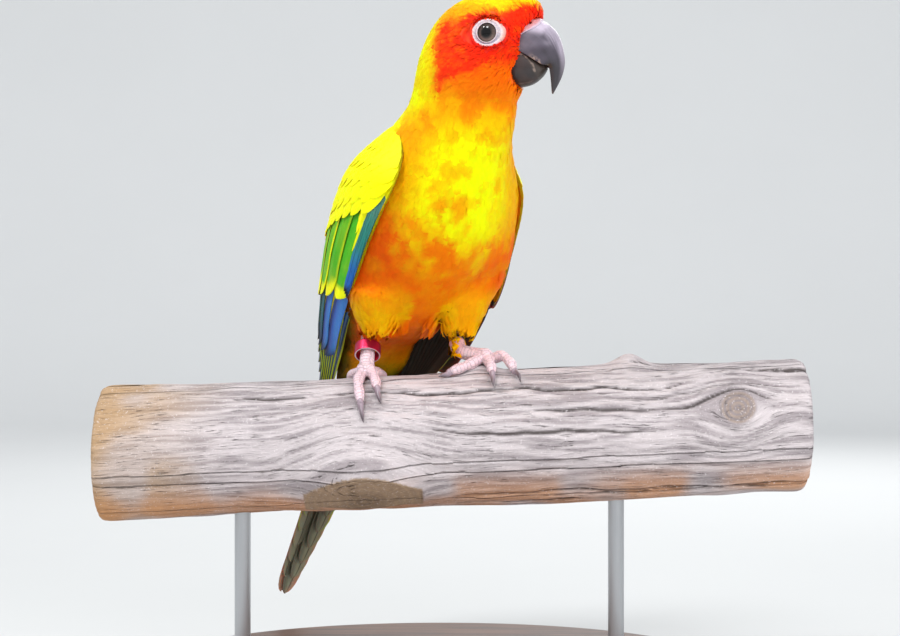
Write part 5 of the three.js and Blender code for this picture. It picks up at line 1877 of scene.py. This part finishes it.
def leg_ring_place(a, b):
    path = shank_path(FEET["right"])
    spot = sample(path, np.full(1, RING["along"]))[0]
    axis = unit(sample(path, np.array([RING["along"] + 0.03]))[0] - spot)
    first = unit(np.cross(axis, [1.0, 0, 0]))
    second = np.cross(axis, first)
    middle, thick = (RING["inner"] + RING["outer"]) / 2, (RING["outer"] - RING["inner"]) / 2
    s, c = np.sin(TAU * b), np.cos(TAU * b)
    reach = middle + thick * np.sign(c) * np.abs(c) ** 0.35
    shift = RING["half"] * np.sign(s) * np.abs(s) ** 0.25
    turn = TAU * a[:, None]
    around = np.cos(turn) * first + np.sin(turn) * second
    return spot + reach[:, None] * around + shift[:, None] * axis


def ring_colour(a, b, points):
    return mix(RING_COLOUR, BARE_METAL, ramp(np.sin(TAU * b), 0.97, 0.995))


anodised = Finish("anodised", Metallic=0.85, Coat_Weight=0.2, Coat_Roughness=0.2)
scuffs = anodised.noise(anodised.place((0.4, 0.4, 5)), 2.0, 4)
anodised.set(Base_Color=anodised.attribute("tint"), Roughness=0.26 + 0.25 * scuffs)
anodised.relief(scuffs, 0.02)
leg_ring = over_grid("leg_ring_band", 120, 64, leg_ring_place, ring_colour, frame_of=in_row)
finish_piece(leg_ring, anodised.material, "ring", "leg_ring")

# %% [markdown]
# The log is old barkless wood, silver grey, split by long fine cracks that
# flow round the knot and the collar of the sawn branch. Real cracks are cut
# into the form; the finest grain is left to the material.

# %% Log
LOG_GRID = (420, 230)
CAP = 0.05  # share of the grid that closes each end
SILVER = srgb(206, 197, 199)
ASH = srgb(150, 141, 144)
OCHRE = srgb(176, 142, 100)
RUST = srgb(216, 142, 84)
CRACK = srgb(46, 38, 34)
SAWN = srgb(160, 138, 116)
PITH = srgb(184, 158, 126)
BLEACHED = srgb(236, 230, 232)
cracks = np.random.default_rng(31)
CRACKS = [  # place along, angle, half length, half width, depth
    [cracks.uniform(*span) for span in (LOG_ENDS, (-np.pi, np.pi), (14, 60), (0.5, 0.8), (0.5, 1.3))]
    for _ in range(30)
]
DETOURS = (  # what the grain runs round: place along, angle, width as an angle, length
    (KNOT["x"], KNOT["angle"], 0.34, 13), (*COLLAR, 0.62, 24), (*TWIG, 0.25, 11),
)


def flow(x, angle):
    """Angle of the grain that passes here, so that it runs round knot and collar."""
    bent = angle + 0.02 * np.sin(x / 17) + 0.012 * np.sin(x / 5.3 + 2 * angle)
    for place, toward, wide, long in DETOURS:
        away = angle_from(angle, toward)
        pull = bell(x, place, long) * bell(away, 0, 2.2 * wide)
        bent = bent - wide * np.tanh(away / (0.6 * wide)) * pull * 0.8
    return bent


def crack_depth(x, angle):
    grain = flow(x, angle)
    depth = np.zeros_like(x)
    for place, toward, long, wide, deep in CRACKS:
        away = angle_from(grain, toward) * LOG_RADIUS
        away = away + 0.5 * np.sin(x / 6.0 + place) + 0.25 * np.sin(x / 2.3 + toward * 9)
        along = np.clip(1 - ((x - place) / long) ** 2, 0, 1)
        depth = np.maximum(depth, deep * along**0.5 * bell(away, 0, wide * (0.3 + 0.9 * along)))
    return depth


def knot_share(x, angle):
    """Distance from the knot's middle, as a share of its radius."""
    across = angle_from(angle, KNOT["angle"]) * LOG_RADIUS
    return np.hypot(x - KNOT["x"], across) / KNOT["radius"]


def grain_mottle(x, angle, stretch, size, shift):
    """Patches that are drawn out along the grain."""
    return mottle(np.stack([x / stretch, flow(x, angle) * LOG_RADIUS, 0 * x], -1), size, shift)


def log_spots(a):
    """Where along the log a row of the grid is, and how far it is from its end's middle."""
    first, last = LOG_ENDS
    t = np.clip((a - CAP) / (1 - 2 * CAP), 0, 1)
    return first + (last - first) * t, np.clip(np.minimum(a, 1 - a) / CAP, 0, 1)


def past_saw(x, points):
    """How far a place stands out past the sawn face, and whether it is near that face."""
    return (points - log_axis(x)) @ CUT_FACING - CUT["reach"], np.abs(x - CUT["x"]) < CUT["half"]


def log_place(a, b):
    x, closed = log_spots(a)
    angle = TAU * b
    ridges = grain_mottle(x, angle, 16, 1.3, 3) - 0.5
    broad = grain_mottle(x, angle, 3, 5.0, 8) - 0.5
    far = knot_share(x, angle)
    lift = 0.55 * ridges + 0.9 * broad - crack_depth(x, angle) - 0.25
    lift = lift + 0.5 * bell(far, 1.0, 0.25) - 0.5 * ramp(far, 0.9, 0.2)
    edge = np.minimum(x - LOG_ENDS[0], LOG_ENDS[1] - x)
    points, axis = on_log(x, angle, lift - 1.1 * np.exp(-edge / 0.9)), log_axis(x)
    saw = 0.25 * mottle(points * [0, 1, 1], 2.0, 2) * (closed < 1) * np.sign(a - 0.5)
    points = axis + (points - axis) * closed[:, None] + np.stack([saw, 0 * a, 0 * a], -1)
    beyond, near = past_saw(x, points)
    chatter = 0.06 * np.sin(points[:, 0] * 2.1) + 0.125 * (mottle(points, 1.5, 5) - 0.5)
    push = near * (chatter * (beyond > 0) - np.maximum(beyond, 0))
    return points + push[:, None] * CUT_FACING


def log_colour(a, b, points):
    x, closed = log_spots(a)
    angle = TAU * b
    streaks = grain_mottle(x, angle, 14, 0.9, 6)
    cloudy = mottle(points, 16, 4)
    colour = 0.88 * mix(SILVER, ASH, ramp(streaks + 0.5 * (cloudy - 0.5), 0.35, 0.8) * 0.8)
    colour = mix(colour, OCHRE, ramp(x, -70, -125) * (0.35 + 0.5 * ramp(cloudy, 0.4, 0.7)))
    under = ramp(np.cos(angle), -0.35, -0.85)
    colour = mix(colour, mix(RUST, OCHRE, 0.4), under * ramp(cloudy, 0.3, 0.6) * 0.7)
    colour = mix(colour, CRACK, ramp(crack_depth(x, angle), 0.12, 0.7) * 0.85)
    far = knot_share(x, angle)
    rings = 0.5 + 0.5 * np.cos(far * 22)
    colour = mix(colour, mix(ASH * 0.7, SAWN, rings * 0.5), ramp(far, 1.1, 0.8))
    beyond, near = past_saw(x, points)
    off = np.hypot(x - CUT["x"], points[:, 1] + (LOG_RADIUS - 1) * math.sin(CUT["facing"]))
    sawn = mix(SAWN, SAWN * 0.55, ramp(off + 1.5 * cloudy, 12, 3) * 0.7)
    sawn = mix(sawn, PITH, ramp(np.sin(off * 2.2), 0.4, 1.0) * 0.35)
    colour = mix(colour, sawn, ramp(beyond, -0.35, -0.1) * near)
    heart = np.linalg.norm((points - log_axis(x))[:, 1:], axis=-1)
    year = 0.5 + 0.5 * np.sin(heart * 3.1 + 2 * mottle(points, 6, 1))
    end = mix(PITH, SAWN, 0.25 + 0.5 * year)
    end = mix(end, PITH * 1.25, ramp(heart, 21, 24) * 0.6)
    return mix(colour, end, ramp(closed, 0.985, 0.97))


def log_grain(a, b):
    x, closed = log_spots(a)
    along = x * 0.1 + (1 - closed) * 2.5 * np.sign(a - 0.5)
    return np.stack([along, flow(x, TAU * b) * LOG_RADIUS * 0.1 + 2 * closed], -1)


log_finish = Finish("weathered_wood", Specular_IOR_Level=0.25)
along_grain = log_finish.on_map("grain", (0.9, 12.0, 1))
fibre = log_finish.noise(along_grain, 1.6, 6, 0.7)
hair = log_finish.noise(log_finish.on_map("grain", (2.4, 52.0, 1)), 1.0, 5, 0.7)
patches = log_finish.noise(log_finish.on_map("grain", (0.5, 2.4, 1)), 1.0, 3)
specks = log_finish.noise(log_finish.place(), 1.2, 4, 0.7)
dark_lines = fibre.between(0.43, 0.33) * patches.between(0.42, 0.6)
fine_lines = hair.between(0.42, 0.32)
white_specks = specks.between(0.58, 0.68)
wood = log_finish.shade(log_finish.attribute("tint"), 0.44 + 0.75 * fibre + 0.5 * hair - 0.06 * patches)
wood = log_finish.blend(wood, CRACK, (0.7 * dark_lines + 0.4 * fine_lines).least(0.85))
wood = log_finish.blend(wood, BLEACHED, 0.5 * white_specks)
log_finish.set(Base_Color=wood, Roughness=0.92 - 0.14 * fibre)
log_finish.relief(fibre * 0.5 + hair * 0.35 + specks * 0.15 - 0.5 * dark_lines, 0.8)
log = over_grid("log", *LOG_GRID, log_place, log_colour, log_grain, frame_of=in_row)
finish_piece(log, log_finish.material, "log", "perch")

# %% [markdown]
# The stand is plain: an oval base of stained wood with a softened edge, and
# two brushed steel rods that end inside the log.

# %% Stand
BASE = {"half": (105.0, 75.0), "height": 12.0, "soft": 2.6}
RODS = {"radius": 3.0, "x": (-74, 66), "socket": 8.0}
CHAMFER = 0.6  # at the base's lower edge
EDGES = (0.2, 0.24, 0.62, 0.78)  # shares of the grid: underside, chamfer, wall, soft edge, top
STAIN_DARK, STAIN_LIGHT = srgb(70, 44, 30), srgb(122, 80, 54)
STEEL = srgb(188, 190, 193)


def base_place(a, b):
    turn = TAU * b
    soft, high = BASE["soft"], BASE["height"]
    under, chamfer, wall, edge = EDGES
    corner = np.clip((a - wall) / (edge - wall), 0, 1) * np.pi / 2
    inset = np.interp(a, (under, chamfer), (CHAMFER, 0)) + soft * (1 - np.cos(corner))
    up = np.interp(a, (under, chamfer, wall), (0, CHAMFER, high - soft)) + soft * np.sin(corner)
    shrink = np.interp(a, (0, under, edge, 1), (0, 1, 1, 0))
    return np.stack([(BASE["half"][0] - inset) * shrink * np.cos(turn),
                     (BASE["half"][1] - inset) * shrink * np.sin(turn), up], -1)


def rod_place(middle):
    top = LOG_AXIS + middle * LOG_SLOPE - LOG_RADIUS + RODS["socket"]
    def place(a, b):
        closed = np.clip(np.minimum(a, 1 - a) / 0.02, 0, 1)
        up = BASE["height"] / 2 + (top - BASE["height"] / 2) * np.clip((a - 0.02) / 0.96, 0, 1)
        turn = TAU * b
        reach = RODS["radius"] * closed
        return np.stack([middle + reach * np.cos(turn), reach * np.sin(turn), up], -1)
    return place


stained = Finish("stained_wood", Coat_Weight=0.25, Coat_Roughness=0.3)
board = stained.noise(stained.place((0.05, 0.9, 0.6)), 0.5, 5, 0.6, 0.4)
pores = stained.noise(stained.place((0.12, 4.0, 4.0)), 1.0, 3)
board_tint = stained.blend(STAIN_DARK, STAIN_LIGHT, board.between(0.3, 0.7))
stained.set(Base_Color=stained.shade(board_tint, 0.86 + 0.28 * pores), Roughness=0.36 + 0.18 * pores)
stained.relief(pores, 0.06)
base = over_grid("base_board", 90, 180, base_place, frame_of=in_row)
finish_piece(base, stained.material, "base", "stand_base")

steel = Finish("brushed_steel", Metallic=1.0)
brushed = steel.noise(steel.place((6, 6, 0.12)), 1.0, 4)
steel.set(Base_Color=steel.shade(STEEL, 0.9 + 0.2 * brushed), Roughness=0.26 + 0.2 * brushed)
steel.relief(brushed, 0.02)
for number, middle in enumerate(RODS["x"], 1):
    rod = over_grid(f"rod_{number}", 60, 48, rod_place(middle), frame_of=in_row)
    finish_piece(rod, steel.material, "rod", f"stand_rod_{number}")
